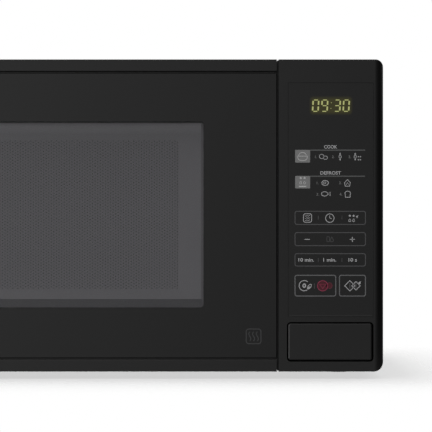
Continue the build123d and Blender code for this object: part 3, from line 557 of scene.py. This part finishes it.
def dropLoop(centre, width, length, steps=24):
    # a teardrop with its point up: the half width goes as sin(t) times the square of sin(t / 2),
    # and the height as cos(t)
    turn = np.arange(steps) / steps * 2 * math.pi
    across = np.sin(turn) * np.sin(turn / 2) ** 2 * width * 0.65
    return np.stack([centre[0] + across, centre[1] - np.cos(turn) * length / 2], -1)


def band(loops):
    # loops of equal length joined in turn, the last to the first: a closed ring with that section
    rows, columns = len(loops), len(loops[0])
    return np.concatenate(loops), wrapFaces(rows, columns, True, True).tolist()


screenSizes = {
    # the perforated screen in the door
    "left": 0.0180,                     # from the window's edges to the first hole
    "right": 0.0180,
    "above": 0.0121,
    "below": 0.0121,
    "pitch": 0.0024,
    "hole": 0.48,                       # hole across its corners as a share of the pitch
    "shut": 0.04,                       # the same for the cells round the edge
    "thickness": 0.0004,
}


def holedSheet(low, rows, columns, picked, sizes, y):
    # a honeycomb of six-sided cells in straight upright columns, each with a six-sided hole: the
    # corners of a cell lie at pitch / sqrt(3) from its centre, and the hole's corners on the same
    # lines, nearer in; the cells round the edge have a hole too small to see
    pitch = sizes["pitch"]
    r, c = np.meshgrid(np.arange(rows), picked, indexing="ij")
    edge = (r == 0) | (r == rows - 1) | (c == 0) | (c == columns - 1)
    centreX = (low[0] + pitch * math.sqrt(3) / 2 * (c + 0.5)).ravel()
    centreZ = (low[1] + pitch * (r + 0.25 + 0.5 * (c % 2))).ravel()
    turn = np.arange(6) * math.pi / 3
    hole = np.where(edge, sizes["shut"] / 2, sizes["hole"] / 2).ravel() * pitch
    outer = np.full(hole.shape, pitch / math.sqrt(3))
    radii = np.stack([outer, hole, hole, outer], -1)
    depth = np.array([0.0, 0.0, 1.0, 1.0]) * sizes["thickness"] + y
    x = centreX[:, None, None] + radii[:, :, None] * np.cos(turn)
    z = centreZ[:, None, None] + radii[:, :, None] * np.sin(turn)
    points = np.stack([x, np.broadcast_to(depth[None, :, None], x.shape), z], -1).reshape(-1, 3)
    cell = wrapFaces(4, 6, True, True)
    faces = (cell[None] + np.arange(len(centreX))[:, None, None] * 24).reshape(-1, 4)
    return points, faces.tolist()


def cutCopy(node, low, high):
    # a merged copy of a sheet-metal node with a straight-sided opening cut through it
    bench = bmesh.new()
    bench.from_mesh(cadNodes[node].data)
    bmesh.ops.remove_doubles(bench, verts=bench.verts, dist=1e-6)
    mesh = bpy.data.meshes.new(node + "Cut")
    bench.to_mesh(mesh)
    bench.free()
    blank = bpy.data.objects.new(node + "Cut", mesh)
    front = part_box(node)[0].y
    reach = 0.002                       # of the cutter before and behind the sheet's face
    corners = ((low[0], low[1]), (high[0], low[1]), (high[0], high[1]), (low[0], high[1]))
    loops = [np.array([[x, y, z] for x, z in corners]) for y in (front - reach, front + reach)]
    points, faces = band(loops)
    cutterMesh = bpy.data.meshes.new("cutter")
    cutterMesh.from_pydata(points.tolist(), [], faces[:4] + [[3, 2, 1, 0], [4, 5, 6, 7]])
    bench = bmesh.new()
    bench.from_mesh(cutterMesh)
    bmesh.ops.recalc_face_normals(bench, faces=bench.faces)
    bench.to_mesh(cutterMesh)
    bench.free()
    cutter = bpy.data.objects.new("cutter", cutterMesh)
    for thing in (blank, cutter):
        bpy.context.scene.collection.objects.link(thing)
    boolean = blank.modifiers.new("opening", "BOOLEAN")
    boolean.object = cutter
    boolean.solver = "EXACT"
    bpy.context.view_layer.update()
    blank.data = bpy.data.meshes.new_from_object(blank.evaluated_get(bpy.context.evaluated_depsgraph_get()))
    blank.modifiers.clear()
    bpy.data.objects.remove(cutter)
    return blank


def makeDoorPlate(sizes):
    # the pressed pan with its screen area cut out, and two halves of one honeycomb set into it
    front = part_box("door_plate")[0].y
    low = np.array([windowLow[0] + sizes["left"], windowLow[1] + sizes["below"]])
    high = np.array([windowHigh[0] - sizes["right"], windowHigh[1] - sizes["above"]])
    columns, rows = ((high - low) / sizes["pitch"] / (math.sqrt(3) / 2, 1)).astype(int)
    span = np.array([columns * math.sqrt(3) / 2, rows]) * sizes["pitch"]
    inset = 0.5 * sizes["pitch"]
    plate = cutCopy("door_plate", low + inset, low + span - inset)
    plate.name = "doorPlatePressed"
    plate.data.materials.clear()
    plate.data.materials.append(finishes["screenPaint"].material)
    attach(plate, "door")
    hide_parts("door_plate")
    halves = np.array_split(np.arange(columns), 2)
    for name, picked in zip(("doorScreenLeft", "doorScreenRight"), halves):
        part = holedSheet(low, rows, columns, picked, sizes, front + 0.0001)
        makePiece(name, [part], "door", "screenPaint")


print("door screen")
makeDoorPlate(screenSizes)


# the printed signs on the keypad are in millimetres, right and down of its top left corner

printDepth = 0.05                       # ink and film emboss above the keypad's face


def line(points, width=0.55, closed=False):
    # a rectangular section carried along a path: each point steps out along the mean of its
    # neighbours' normals, by half the width, and less at a sharp point
    points = np.array(points, float)
    ahead = np.roll(points, -1, 0) - points
    if not closed:
        ahead[-1] = ahead[-2]
    ahead /= np.linalg.norm(ahead, axis=1)[:, None]
    behind = np.roll(ahead, 1, 0)
    if not closed:
        behind[0] = ahead[0]
    normal = np.stack([-(ahead + behind)[:, 1], (ahead + behind)[:, 0]], -1)
    normal /= np.maximum(np.linalg.norm(normal, axis=1) ** 2 / 2, 0.9)[:, None]
    step = normal * width / 2
    rim = np.stack([points - step, points + step, points + step, points - step], 1)
    depth = np.broadcast_to(np.array([printDepth, printDepth, 0.0, 0.0])[None, :], rim.shape[:2])
    solid = np.concatenate([rim, depth[..., None]], -1).reshape(-1, 3)
    faces = wrapFaces(len(points), 4, closed, True).tolist()
    if not closed:
        last = (len(points) - 1) * 4
        faces += [[3, 2, 1, 0], [last, last + 1, last + 2, last + 3]]
    return solid, faces


def pad(loop):
    # a filled sign: its loop fanned to the middle on both faces, with a thin rim
    loop = np.array(loop, float)
    count = len(loop)
    middle = loop.mean(0)
    front = np.column_stack([loop, np.full(count, printDepth)])
    back = np.column_stack([loop, np.zeros(count)])
    points = np.concatenate([front, back, [[*middle, printDepth], [*middle, 0.0]]])
    faces = wrapFaces(2, count, False, True).tolist()
    faces += [[i, 2 * count, (i + 1) % count] for i in range(count)]
    faces += [[count + (i + 1) % count, 2 * count + 1, count + i] for i in range(count)]
    return points, faces


letterValues = {
    "thickness": 0.01,
    "bolder": 0.022,                    # how far the outline steps out
    "curveSteps": 3,
    "capital": 0.69,                    # a capital's height in the font's own units
}


def words(text, centre, height, width=None):
    # plain lettering made a mesh, then fitted to its height and, where given, its width
    curve = bpy.data.curves.new(text, "FONT")
    curve.body = text
    curve.extrude = letterValues["thickness"]
    curve.offset = letterValues["bolder"]
    curve.resolution_u = letterValues["curveSteps"]
    holder = bpy.data.objects.new(text, curve)
    bpy.context.scene.collection.objects.link(holder)
    bpy.context.view_layer.update()
    mesh = bpy.data.meshes.new_from_object(holder)
    bench = bmesh.new()
    bench.from_mesh(mesh)
    bmesh.ops.remove_doubles(bench, verts=bench.verts, dist=1e-5)
    bench.to_mesh(mesh)
    bench.free()
    points = np.zeros(len(mesh.vertices) * 3)
    mesh.vertices.foreach_get("co", points)
    points = points.reshape(-1, 3)
    faces = [list(face.vertices) for face in mesh.polygons]
    bpy.data.objects.remove(holder)
    scale = height / letterValues["capital"]
    wide = width / np.ptp(points[:, 0]) if width else scale
    middle = (points[:, 0].max() + points[:, 0].min()) / 2
    x = centre[0] + (points[:, 0] - middle) * wide
    y = centre[1] + height / 2 - points[:, 1] * scale
    return np.column_stack([x, y, (points[:, 2] > 0) * printDepth]), faces


def onFace(parts, corner, face):
    # from millimetres right and down of a corner to metres on an upright face
    placed = []
    for points, faces in parts:
        x = corner[0] + points[:, 0] * mm
        z = corner[1] - points[:, 1] * mm
        placed.append((np.column_stack([x, face - points[:, 2] * mm, z]), faces))
    return placed


def drops(x, y, size):
    # two thawing stars over two drops
    parts = []
    for side in (-0.5, 0.5):
        centre = x + side * size * 0.55
        parts.append(pad(ellipseLoop((centre, y - size * 0.25), size * 0.15, size * 0.15, 12)))
        parts.append(line(dropLoop((centre, y + size * 0.36), size * 0.36, size * 0.46), 0.4, True))
    return parts


def flash(x, y, size):
    # a zigzag spark
    shape = [(0.5, -0.5), (-0.2, -0.2), (-0.3, 0.1), (-0.05, 0.15), (-0.2, 0.5), (0.3, 0.1), (0.2, -0.1)]
    return pad([(x + a * size, y + b * size) for a, b in shape])


def wavy(x0, x1, y, height, count=2, width=0.4):
    # a level wave: height times the sine of the distance along it
    t = np.linspace(0.0, 1.0, 10 * count)
    return line(np.stack([x0 + (x1 - x0) * t, y + height * np.sin(t * 2 * math.pi * count)], -1), width)


keyFrames = {
    # left, top, right, bottom of the outlined keys
    "power": (5.3, 102.85, 61.7, 113.35),
    "adjust": (5.3, 119.9, 61.7, 130.35),
    "time": (5.3, 136.75, 61.7, 146.7),
    "stop": (5.3, 154.1, 37.9, 170.7),
    "start": (40.9, 154.1, 61.7, 170.7),
}


def framesOf(names, width):
    parts = []
    for name in names:
        x0, y0, x1, y1 = keyFrames[name]
        parts.append(line(roundedLoop((x0, y0), (x1, y1), 1.5, 5), width, True))
    return parts


def cookSigns():
    # potatoes, a carrot, and a carrot with peas
    parts = [words("COOK", (33.8, 51.2), 2.6, 10.5)]
    parts.append(line(ellipseLoop((26.6, 58.9), 1.85, 1.75), 0.45, True))
    parts.append(line(ellipseLoop((29.6, 59.9), 1.75, 1.3), 0.45, True))
    for x in (41.4, 53.5):
        parts.append(line(ellipseLoop((x, 59.1), 0.9, 1.2, 18), 0.45, True))
        parts.append(pad([(x - 0.8, 57.0), (x, 55.9), (x + 0.8, 57.0), (x, 57.6)]))
        parts.append(pad([(x - 0.6, 61.0), (x, 62.4), (x + 0.6, 61.0), (x, 60.6)]))
    for step in range(4):
        centre = (56.05 + 1.65 * (step % 2), 59.1 + 2.4 * (step // 2))
        parts.append(pad(ellipseLoop(centre, 0.55, 0.55, 10)))
    return parts


def defrostSigns():
    # meat, poultry, fish and bread
    parts = [words("DEFROST", (33.8, 72.1), 2.6, 16.5)]
    parts.append(line(ellipseLoop((29.4, 80.1), 2.65, 1.95), 0.6, True))
    parts.append(line(ellipseLoop((29.0, 80.0), 1.1, 0.7, 16), 0.4, True))
    parts.append(line([(47.3, 77.4), (49.6, 79.8), (49.0, 82.7), (45.5, 82.7), (44.9, 79.8)], 0.5, True))
    parts.append(line([(46.3, 81.6), (47.2, 79.6), (48.2, 81.4)], 0.4))
    parts.append(line(ellipseLoop((29.0, 88.9), 2.5, 1.75), 0.5, True))
    parts.append(line([(31.4, 88.9), (33.8, 87.2), (33.3, 88.9), (33.8, 90.6)], 0.45, True))
    crust = ellipseLoop((47.5, 88.3), 2.2, 1.6, 14, math.pi, math.pi)
    loaf = np.concatenate([crust, [(49.6, 89.0), (49.3, 91.6), (45.7, 91.6), (45.4, 89.0)]])
    parts.append(line(loaf, 0.5, True))
    return parts


def numberSigns():
    # the figures before the cooking and the defrosting signs
    places = (("1.", (22.1, 59.2)), ("2.", (35.9, 59.2)), ("3.", (49.2, 59.2)), ("1.", (23.4, 80.0)),
              ("2.", (41.6, 80.0)), ("3.", (23.5, 89.2)), ("4.", (41.9, 89.2)))
    return [words(text, place, 2.0) for text, place in places]


def powerSigns():
    # microwaves, the clock, and defrosting by weight
    parts = [line(roundedLoop((12.1, 104.8), (18.6, 111.6), 1.4, 4), 0.55, True)]
    for step in range(3):
        parts.append(wavy(13.3, 17.4, 106.5 + step * 1.75, 0.3, 2, 0.35))
    parts.append(line(ellipseLoop((33.15, 108.3), 3.4, 3.4), 0.55, True))
    parts.append(line([(33.0, 106.2), (33.1, 108.2), (34.7, 108.9)], 0.45))
    return parts + drops(50.7, 107.8, 5.6) + [flash(54.9, 107.2, 2.7)]


def adjustSigns():
    # minus and plus
    return [line([(13.0, 125.3), (17.2, 125.3)], 0.6), line([(49.2, 125.3), (53.2, 125.3)], 0.6),
            line([(51.2, 123.3), (51.2, 127.3)], 0.6)]


def timeSigns():
    return [words("10 min.", (14.3, 141.7), 2.7, 12.6), words("1 min.", (33.1, 141.7), 2.7, 10.4),
            words("10 s", (51.5, 141.7), 2.7, 6.8)]


def startSigns():
    # a leaf in a broken ring, two diamonds and a flash
    parts = [line(ellipseLoop((12.7, 162.4), 4.1, 4.1, 26, 0.98, 4.66), 0.6)]
    parts.append(line(ellipseLoop((12.7, 162.4), 1.05, 1.35, 16), 0.95, True))
    turn = np.arange(24) / 24 * 2 * math.pi
    along = np.array([0.62, -0.78])
    across = np.array([0.78, 0.62])
    leaf = np.array([16.8, 163.2]) + np.outer(np.cos(turn) * 2.3, along)
    leaf += np.outer(np.sin(turn) * 1.05, across)
    parts.append(line(leaf, 0.55, True))
    parts.append(pad(leaf * 0.5 + np.array([15.9, 164.6]) * 0.5))
    y = 162.5
    for x, half in ((49.2, 4.15), (54.1, 3.4)):
        parts.append(line([(x, y - half), (x + half, y), (x, y + half), (x - half, y)], 0.55, True))
    return parts + [flash(56.9, 160.4, 3.2)]


def quietSigns():
    # what is printed darker: dividers between keys, the weight sign and the bars in the diamonds
    dividers = ((23.95, 107.9), (42.9, 107.9), (23.95, 141.9), (42.9, 141.9))
    parts = [line([(x, y - 1.5), (x, y + 1.5)], 0.5) for x, y in dividers]
    parts.append(line([(20.85, 160.5), (20.85, 164.8)], 0.5))
    parts.append(line(roundedLoop((30.8, 123.1), (32.9, 127.2), 0.6, 3), 0.4, True))
    parts.append(line(dropLoop((34.8, 125.2), 3.0, 4.2, 16), 0.4, True))
    for x, half in ((49.2, 2.2), (54.1, 1.8)):
        parts.append(line([(x, 162.5 - half), (x, 162.5 + half)], 0.8))
    return parts


def squareSigns():
    # the two grey squares
    return [pad(roundedLoop((5.4, y0), (17.4, y1), 0.6, 3)) for y0, y1 in ((53.6, 63.8), (74.5, 84.5))]


def squarePictures():
    # a bowl with food in it, and thawing stars over drops, drawn on the two grey squares
    parts = [line([(7.3, 58.8), (7.8, 61.0), (9.5, 62.1), (13.1, 62.1), (14.8, 61.0), (15.3, 58.8)], 0.5)]
    parts.append(line([(7.0, 58.7), (15.6, 58.7)], 0.5))
    parts.append(line(ellipseLoop((11.3, 58.5), 3.1, 2.8, 14, math.pi * 1.02, math.pi * 0.98), 0.5))
    return parts + drops(11.4, 77.6, 5.7) + [line([(8.4, 82.9), (14.4, 82.9)], 0.9)]


printValues = {
    # the inks
    "bright": (0.52, 0.52, 0.53, 1.0),
    "numbers": (0.21, 0.21, 0.21, 1.0),
    "frames": (0.095, 0.095, 0.098, 1.0),
    "strongFrames": (0.17, 0.17, 0.175, 1.0),
    "rules": (0.12, 0.123, 0.123, 1.0),
    "quiet": (0.085, 0.085, 0.087, 1.0),
    # a lighter line along the film's lower edge: a painted highlight
    "edge": (0.016, 0.016, 0.016, 1.0),
    "squares": (0.255, 0.255, 0.255, 1.0),
    "pictures": (0.62, 0.62, 0.62, 1.0),
    "red": (0.36, 0.035, 0.090, 1.0),
    "dimRed": (0.13, 0.015, 0.035, 1.0),
    "redFill": (0.085, 0.001, 0.010, 1.0),
    "digits": (0.42, 0.44, 0.16, 1.0),
    "mark": (0.05, 0.05, 0.052, 1.0),
}


def makeKeypad(values):
    # one piece for each ink, and one for a painted highlight along the film's lower edge; the last three
    # lie over the squares and the red discs
    corner = (keyLow.x, keyHigh.z)
    bright = cookSigns() + defrostSigns() + powerSigns() + adjustSigns() + timeSigns() + startSigns()
    rules = [line([(17.4, y), (61.4, y)], 0.9) for y in (53.85, 74.75)]
    triangle = [(25.0, 161.3), (29.9, 161.3), (27.45, 164.8)]
    red = [line(ellipseLoop((27.4, 162.5), 4.1, 4.1), 0.55, True), line(triangle, 0.5, True)]
    dimRed = [line(ellipseLoop((32.7, 162.4), 2.35, 2.35, 18, -2.0, 4.0), 0.55)]
    fill = [pad(ellipseLoop((27.4, 162.5), 4.0, 4.0)), pad(ellipseLoop((32.7, 162.4), 2.3, 2.3))]
    onFilm = (
        ("printBright", bright, "bright"),
        ("printNumbers", numberSigns(), "numbers"),
        ("printKeyFrames", framesOf(("power", "adjust", "time"), 0.65), "frames"),
        ("printStartFrames", framesOf(("stop", "start"), 0.75), "strongFrames"),
        ("printRules", rules, "rules"),
        ("printQuiet", quietSigns(), "quiet"),
        # a painted highlight: a light line along the film's lower edge, standing in for its lit edge
        ("printEdgeHighlight", [line([(0.9, 186.3), (67.0, 186.3)], 0.8)], "edge"),
        ("printSquares", squareSigns(), "squares"),
        ("printStopFill", fill, "redFill"),
    )
    onInk = (
        ("printPictures", squarePictures(), "pictures"),
        ("printStopSign", red, "red"),
        ("printStopRing", dimRed, "dimRed"),
    )
    for groups, face in ((onFilm, keyLow.y), (onInk, keyLow.y - printDepth * mm)):
        for name, parts, tone in groups:
            makePrint(name, values[tone])
            makePiece(name, onFace(parts, corner, face), "cabinet", name)


clockValues = {
    # millimetres right and down of the keypad's top left corner
    "left": 19.35,
    "top": 13.7,
    "height": 9.05,
    "digit": 4.4,                       # one digit's width
    "step": 7.2,                        # from one digit to the next
    "colonGap": 2.9,
    "slant": 0.06,
    "bar": 1.2,                         # width of the upright bars
    "thin": 0.75,                       # and of the level ones
    "dot": 0.33,
    "time": ((0, 9), (3, 0)),
}

# which of the seven bars each digit lights: top, two upper sides, middle, two lower sides, foot
barsOf = {0: (1, 1, 1, 0, 1, 1, 1), 3: (1, 0, 1, 1, 0, 1, 1), 9: (1, 1, 1, 1, 0, 1, 1)}


def clockDigits(values):
    # seven bars to a digit, each a short line between two of its corners
    h, w, trim = values["height"], values["digit"], values["bar"] * 0.55
    ends = (((trim, 0), (w - trim, 0)), ((0, trim), (0, h / 2 - trim)), ((w, trim), (w, h / 2 - trim)),
            ((trim, h / 2), (w - trim, h / 2)), ((0, h / 2 + trim), (0, h - trim)),
            ((w, h / 2 + trim), (w, h - trim)), ((trim, h), (w - trim, h)))

    def lean(x, y):
        # the digits lean to the right as they rise
        return (x + (h - y) * values["slant"], values["top"] + y)

    parts, x = [], values["left"]
    for pair in values["time"]:
        for digit in pair:
            for lit, (a, b) in zip(barsOf[digit], ends):
                if lit:
                    across = values["thin"] if a[1] == b[1] else values["bar"]
                    parts.append(line([lean(x + a[0], a[1]), lean(x + b[0], b[1])], across))
            x += values["step"]
        x += values["colonGap"] if pair == values["time"][0] else 0
    colon = values["left"] + 2 * values["step"] + 0.15
    for share in (0.24, 0.74):
        parts.append(pad(ellipseLoop(lean(colon, h * share), values["dot"], values["dot"], 12)))
    return parts


print("keypad")
makeKeypadFilm("keypadFilm", filmValues)
makeKeypad(printValues)
makePrint("clockLight", grey(0.02), printValues["digits"])
makePiece("clockDigits", onFace(clockDigits(clockValues), (keyLow.x, keyHigh.z), keyLow.y),
          "cabinet", "clockLight")


markValues = {
    "centre": (0.1233, 0.0342),         # metres, on the door's face
    "half": 5.9,                        # millimetres from here on
    "radius": 2.2,
    "gap": 3.0,
    "sway": 0.8,
    "reach": 3.8,
}


def makeDoorMark(values):
    # a plain mark: three heat waves in a rounded square, each wave a sine of its height
    half = values["half"]
    parts = [line(roundedLoop((-half, -half), (half, half), values["radius"], 6), 0.8, True)]
    t = np.linspace(-1.0, 1.0, 16)
    for middle in (-values["gap"], 0.0, values["gap"]):
        wave = np.stack([middle + values["sway"] * np.sin(t * math.pi), t * values["reach"]], -1)
        parts.append(line(wave, 0.7))
    makePrint("doorMark", printValues["mark"])
    low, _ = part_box("door_glass")
    makePiece("doorMark", onFace(parts, values["centre"], low.y), "door", "doorMark")


makeDoorMark(markValues)


trayValues = {
    "thickness": 0.004,
    "flat": 0.016,                      # width of the rising border
    "rim": 0.008,
    "lip": 0.003,
    "bead": 0.0018,                     # radius of the rounded edge
    "underEnd": (0.0004, 0.0032),       # where the two faces meet the edge, in from it and down
    "overStart": (0.0040, 0.0026),
    "axis": 0.0002,                     # how near the profile comes to the middle
    "turns": 144,
    "lugs": 3,
    "lugTurn": 30,
    "lugRing": 0.015,
    "lugRadius": 0.003,
    "lugDome": 0.0012,
    "lugDepth": (0.0002, 0.0003),       # how far the lug's top edge and middle reach into the glass
}


def revolved(profile, centre, turns):
    # a profile of radius and height turned about the upright axis, closed at both ends on the axis
    turn = np.arange(turns) / turns * 2 * math.pi
    x = centre[0] + profile[:, 0, None] * np.cos(turn)
    y = centre[1] + profile[:, 0, None] * np.sin(turn)
    z = np.broadcast_to(profile[:, 1, None], x.shape)
    points = np.stack([x, y, z], -1).reshape(-1, 3)
    faces = wrapFaces(len(profile), turns, False, True).tolist()
    last = (len(profile) - 1) * turns
    faces += [list(range(turns))[::-1], [last + k for k in range(turns)]]
    return points, faces


def smoothStep(a, b, count):
    # points from a to b whose height eases in and out as half a cosine
    t = np.linspace(0.0, 1.0, count)
    ease = (1 - np.cos(t * math.pi)) / 2
    return np.stack([a[0] + (b[0] - a[0]) * t, a[1] + (b[1] - a[1]) * ease], -1)


def makeTray(values):
    # a flat plate whose border rises to a beaded rim, with three lugs beneath for the coupler
    low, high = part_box("glass_tray")
    centre = ((low.x + high.x) / 2, (low.y + high.y) / 2)
    radius = (high.x - low.x) / 2
    bottom = high.z - values["rim"] - values["lip"]
    flat = radius - values["flat"]
    bead, axis = values["bead"], values["axis"]
    underEnd = (radius - values["underEnd"][0], high.z - values["underEnd"][1])
    overStart = (radius - values["overStart"][0], high.z - values["overStart"][1])
    under = smoothStep((flat, bottom), underEnd, 14)
    lip = ellipseLoop((radius - bead, high.z - bead), bead, bead, 10, -0.3, math.pi + 0.3)
    over = smoothStep(overStart, (flat - 0.002, bottom + values["thickness"]), 14)
    profile = np.concatenate([[(axis, bottom)], under, lip, over, [(axis, bottom + values["thickness"])]])
    parts = [revolved(profile, centre, values["turns"])]
    lugRing, lugRadius, lugDome = values["lugRing"], values["lugRadius"], values["lugDome"]
    edgeDepth, middleDepth = values["lugDepth"]
    for step in range(values["lugs"]):
        turn = math.radians(values["lugTurn"] + step * 360 / values["lugs"])
        place = (centre[0] + lugRing * math.cos(turn), centre[1] + lugRing * math.sin(turn))
        dome = ellipseLoop((0.0, low.z + lugDome), lugRadius, lugDome, 8, -math.pi / 2 + 0.01, math.pi / 2)
        lug = np.concatenate([dome, [(lugRadius, bottom + edgeDepth), (axis, bottom + middleDepth)]])
        parts.append(revolved(lug, place, 24))
    tray = makePiece("trayPressed", parts, "tray", "trayGlass", smooth=True)
    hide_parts("glass_tray")


print("tray")
makeTray(trayValues)


springValues = {
    "wire": 0.0004,                     # the wire's radius
    "share": 0.57,                      # length of each half as a share of the whole
    "inward": 3,                        # wire radii between the two halves
    "springs": (
        # node, axis, body of the low end, body of the high end, turns of each half
        ("button_spring", 1, "button", "cabinet", 3.5),
        ("latch_spring", 2, "latch", "door", 4.0),
    ),
}


def coil(low, high, axis, centre, radius, turns, wire):
    # the wire's circle carried along a helix: the turn and the place along the axis both rise
    # evenly with t
    sides = 8
    t = np.linspace(0.0, 1.0, int(turns * 20) + 1)[:, None]
    phi = np.arange(sides) / sides * 2 * math.pi
    reach = radius + wire * np.cos(phi)
    turn = t * turns * 2 * math.pi
    across = [k for k in range(3) if k != axis]
    points = np.zeros((len(t), sides, 3))
    points[..., across[0]] = centre[across[0]] + reach * np.cos(turn)
    points[..., across[1]] = centre[across[1]] + reach * np.sin(turn)
    points[..., axis] = low + wire + t * (high - low - 2 * wire) + wire * np.sin(phi)
    last = (len(t) - 1) * sides
    faces = wrapFaces(len(t), sides, False, True).tolist()
    faces += [list(range(sides))[::-1], [last + k for k in range(sides)]]
    if axis != 1:
        faces = [face[::-1] for face in faces]       # X with Y turns the other way than X with Z
    return points.reshape(-1, 3), faces


def makeSprings(values):
    # each spring in two halves that slide one inside the other, one on each body
    wire = values["wire"]
    for node, axis, lowBody, highBody, turns in values["springs"]:
        low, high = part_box(node)
        centre = (low + high) / 2
        length = (high[axis] - low[axis]) * values["share"]
        radius = (high.x - low.x) / 2 - wire
        inner = radius - values["inward"] * wire
        lowHalf = coil(low[axis], low[axis] + length, axis, centre, radius, turns, wire)
        highHalf = coil(high[axis] - length, high[axis], axis, centre, inner, turns, wire)
        makePiece(node + "Outer", [lowHalf], lowBody, "springWire", smooth=True)
        held = makePiece(node + "Inner", [highHalf], highBody, "springWire", smooth=True)
        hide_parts(node)


print("springs")
makeSprings(springValues)


nodeFinishes = {
    "doorPlastic": ("door_frame",),
    "blackPlastic": ("control_panel_frame", "release_button", "choke_cover", "cord_bushing",
                     "board_relays"),
    "doorGlass": ("door_glass",),
    "keypadFilm": ("keypad_membrane",),
    "coverPaint": ("outer_cover",),
    "enamel": ("cavity", "front_plate"),
    "zincSheet": ("base_plate", "back_panel", "waveguide", "magnetron_frame", "magnetron_filter",
                  "turntable_motor", "capacitor_bracket"),
    "screwSteel": ("cover_screws", "hinge_screws", "door_screws", "lower_hinge", "upper_hinge"),
    "springWire": ("turntable_shaft",),
    "greyPlastic": ("door_latch",),
    "whitePlastic": ("release_lever", "latch_board", "switch_plungers", "turntable_coupler", "roller_ring",
                     "roller_wheel_1", "roller_wheel_2", "roller_wheel_3", "fan_shroud", "fan_blade",
                     "lamp_socket", "air_duct"),
    "footRubber": ("feet",),
    "darkResin": ("door_switches", "buzzer", "hv_diode", "thermal_cutouts", "display_module"),
    "clearFilm": ("window_film",),
    "circuitBoard": ("control_board", "line_filter"),
    "micaSheet": ("mica_cover",),
    "aluminium": ("magnetron_antenna", "magnetron_fins", "capacitor"),
    "ferrite": ("magnetron_magnets",),
    "laminations": ("transformer_core", "fan_motor", "board_transformer"),
    "copperWire": ("transformer_windings",),
    "bulbGlass": ("cavity_lamp",),
}


def dressNodes(table):
    for finish, names in table.items():
        for name in names:
            node = cadNodes[name]
            if not node.material_slots:
                node.data.materials.append(None)
            for slot in node.material_slots:
                slot.material = finishes[finish].material


dressNodes(nodeFinishes)


def makeFloor(values):
    # a round pale floor that turns clear with distance from the oven
    steps = 64
    turn = np.arange(steps) / steps * 2 * math.pi
    points = np.stack([np.cos(turn), np.sin(turn), np.zeros(steps)], -1) * values["radius"]
    mesh = bpy.data.meshes.new("floor")
    mesh.from_pydata(points.tolist(), [], [list(range(steps))])
    finish = newFinish("floorFinish", Roughness=0.9, Specular_IOR_Level=0.1)
    x, y, _ = finish.axes()
    outX = (abs(x) - cadBox[1].x).atLeast(0.0)
    outY = (abs(y) - cadBox[1].y).atLeast(0.0)
    away = (outX * outX + outY * outY).calc("SQRT")
    alpha = (1.0 - (away - values["solid"]) / (values["gone"] - values["solid"])).clip()
    shade(finish, Base_Color=values["colour"], Alpha=alpha * alpha * values["most"])
    mesh.materials.append(finish.material)
    floor = bpy.data.objects.new("floor", mesh)
    bpy.context.scene.collection.objects.link(floor)


worldValues = {
    "seen": 1.0,                        # where it is looked at
    "ahead": 0.395,                     # straight ahead of the door
    "falloff": 3.2,                     # how fast it darkens toward the right
    "right": 0.03,                      # what is left there
    "most": 0.80,
    "rise": 1.1,                        # how much brighter it grows with height
    "mostRise": 1.15,
    "above": 0.50,                      # straight above
}


def makeWorld(values):
    # white where it is looked at; as light it is bright above, mild in front and darkest at the
    # right: one less X, to a power, times the height's share
    world = bpy.data.worlds.new("studio")
    world.use_nodes = True
    world.node_tree.nodes.clear()
    finish = Finish(world.node_tree)
    where = finish.add("ShaderNodeTexCoord", output="Generated")
    node = finish.add("ShaderNodeSeparateXYZ", {}, (where,)).socket.node
    x, _, z = (Signal(finish, out) for out in node.outputs)
    up = z.atLeast(0.0)
    level = (1.0 - x).calc("POWER", values["falloff"]) * values["ahead"] + values["right"]
    height = (z * values["rise"] + 1.0).atLeast(0.0).calc("MINIMUM", values["mostRise"])
    level = level.calc("MINIMUM", values["most"]) * height
    glow = level * (1.0 - up * up) + up * up * values["above"]
    seen = finish.add("ShaderNodeLightPath", output="Is Camera Ray")
    strength = seen * values["seen"] + (1.0 - seen) * glow
    background = finish.add("ShaderNodeBackground", {}, {"Color": grey(1.0), "Strength": strength})
    finish.add("ShaderNodeOutputWorld", {}, {"Surface": background})
    bpy.context.scene.world = world


print("studio")
makeCamera(cameraValues)
makeLights(lightValues)
makeFloor(floorValues)
makeWorld(worldValues)
bpy.context.scene.view_settings.view_transform = "Standard"
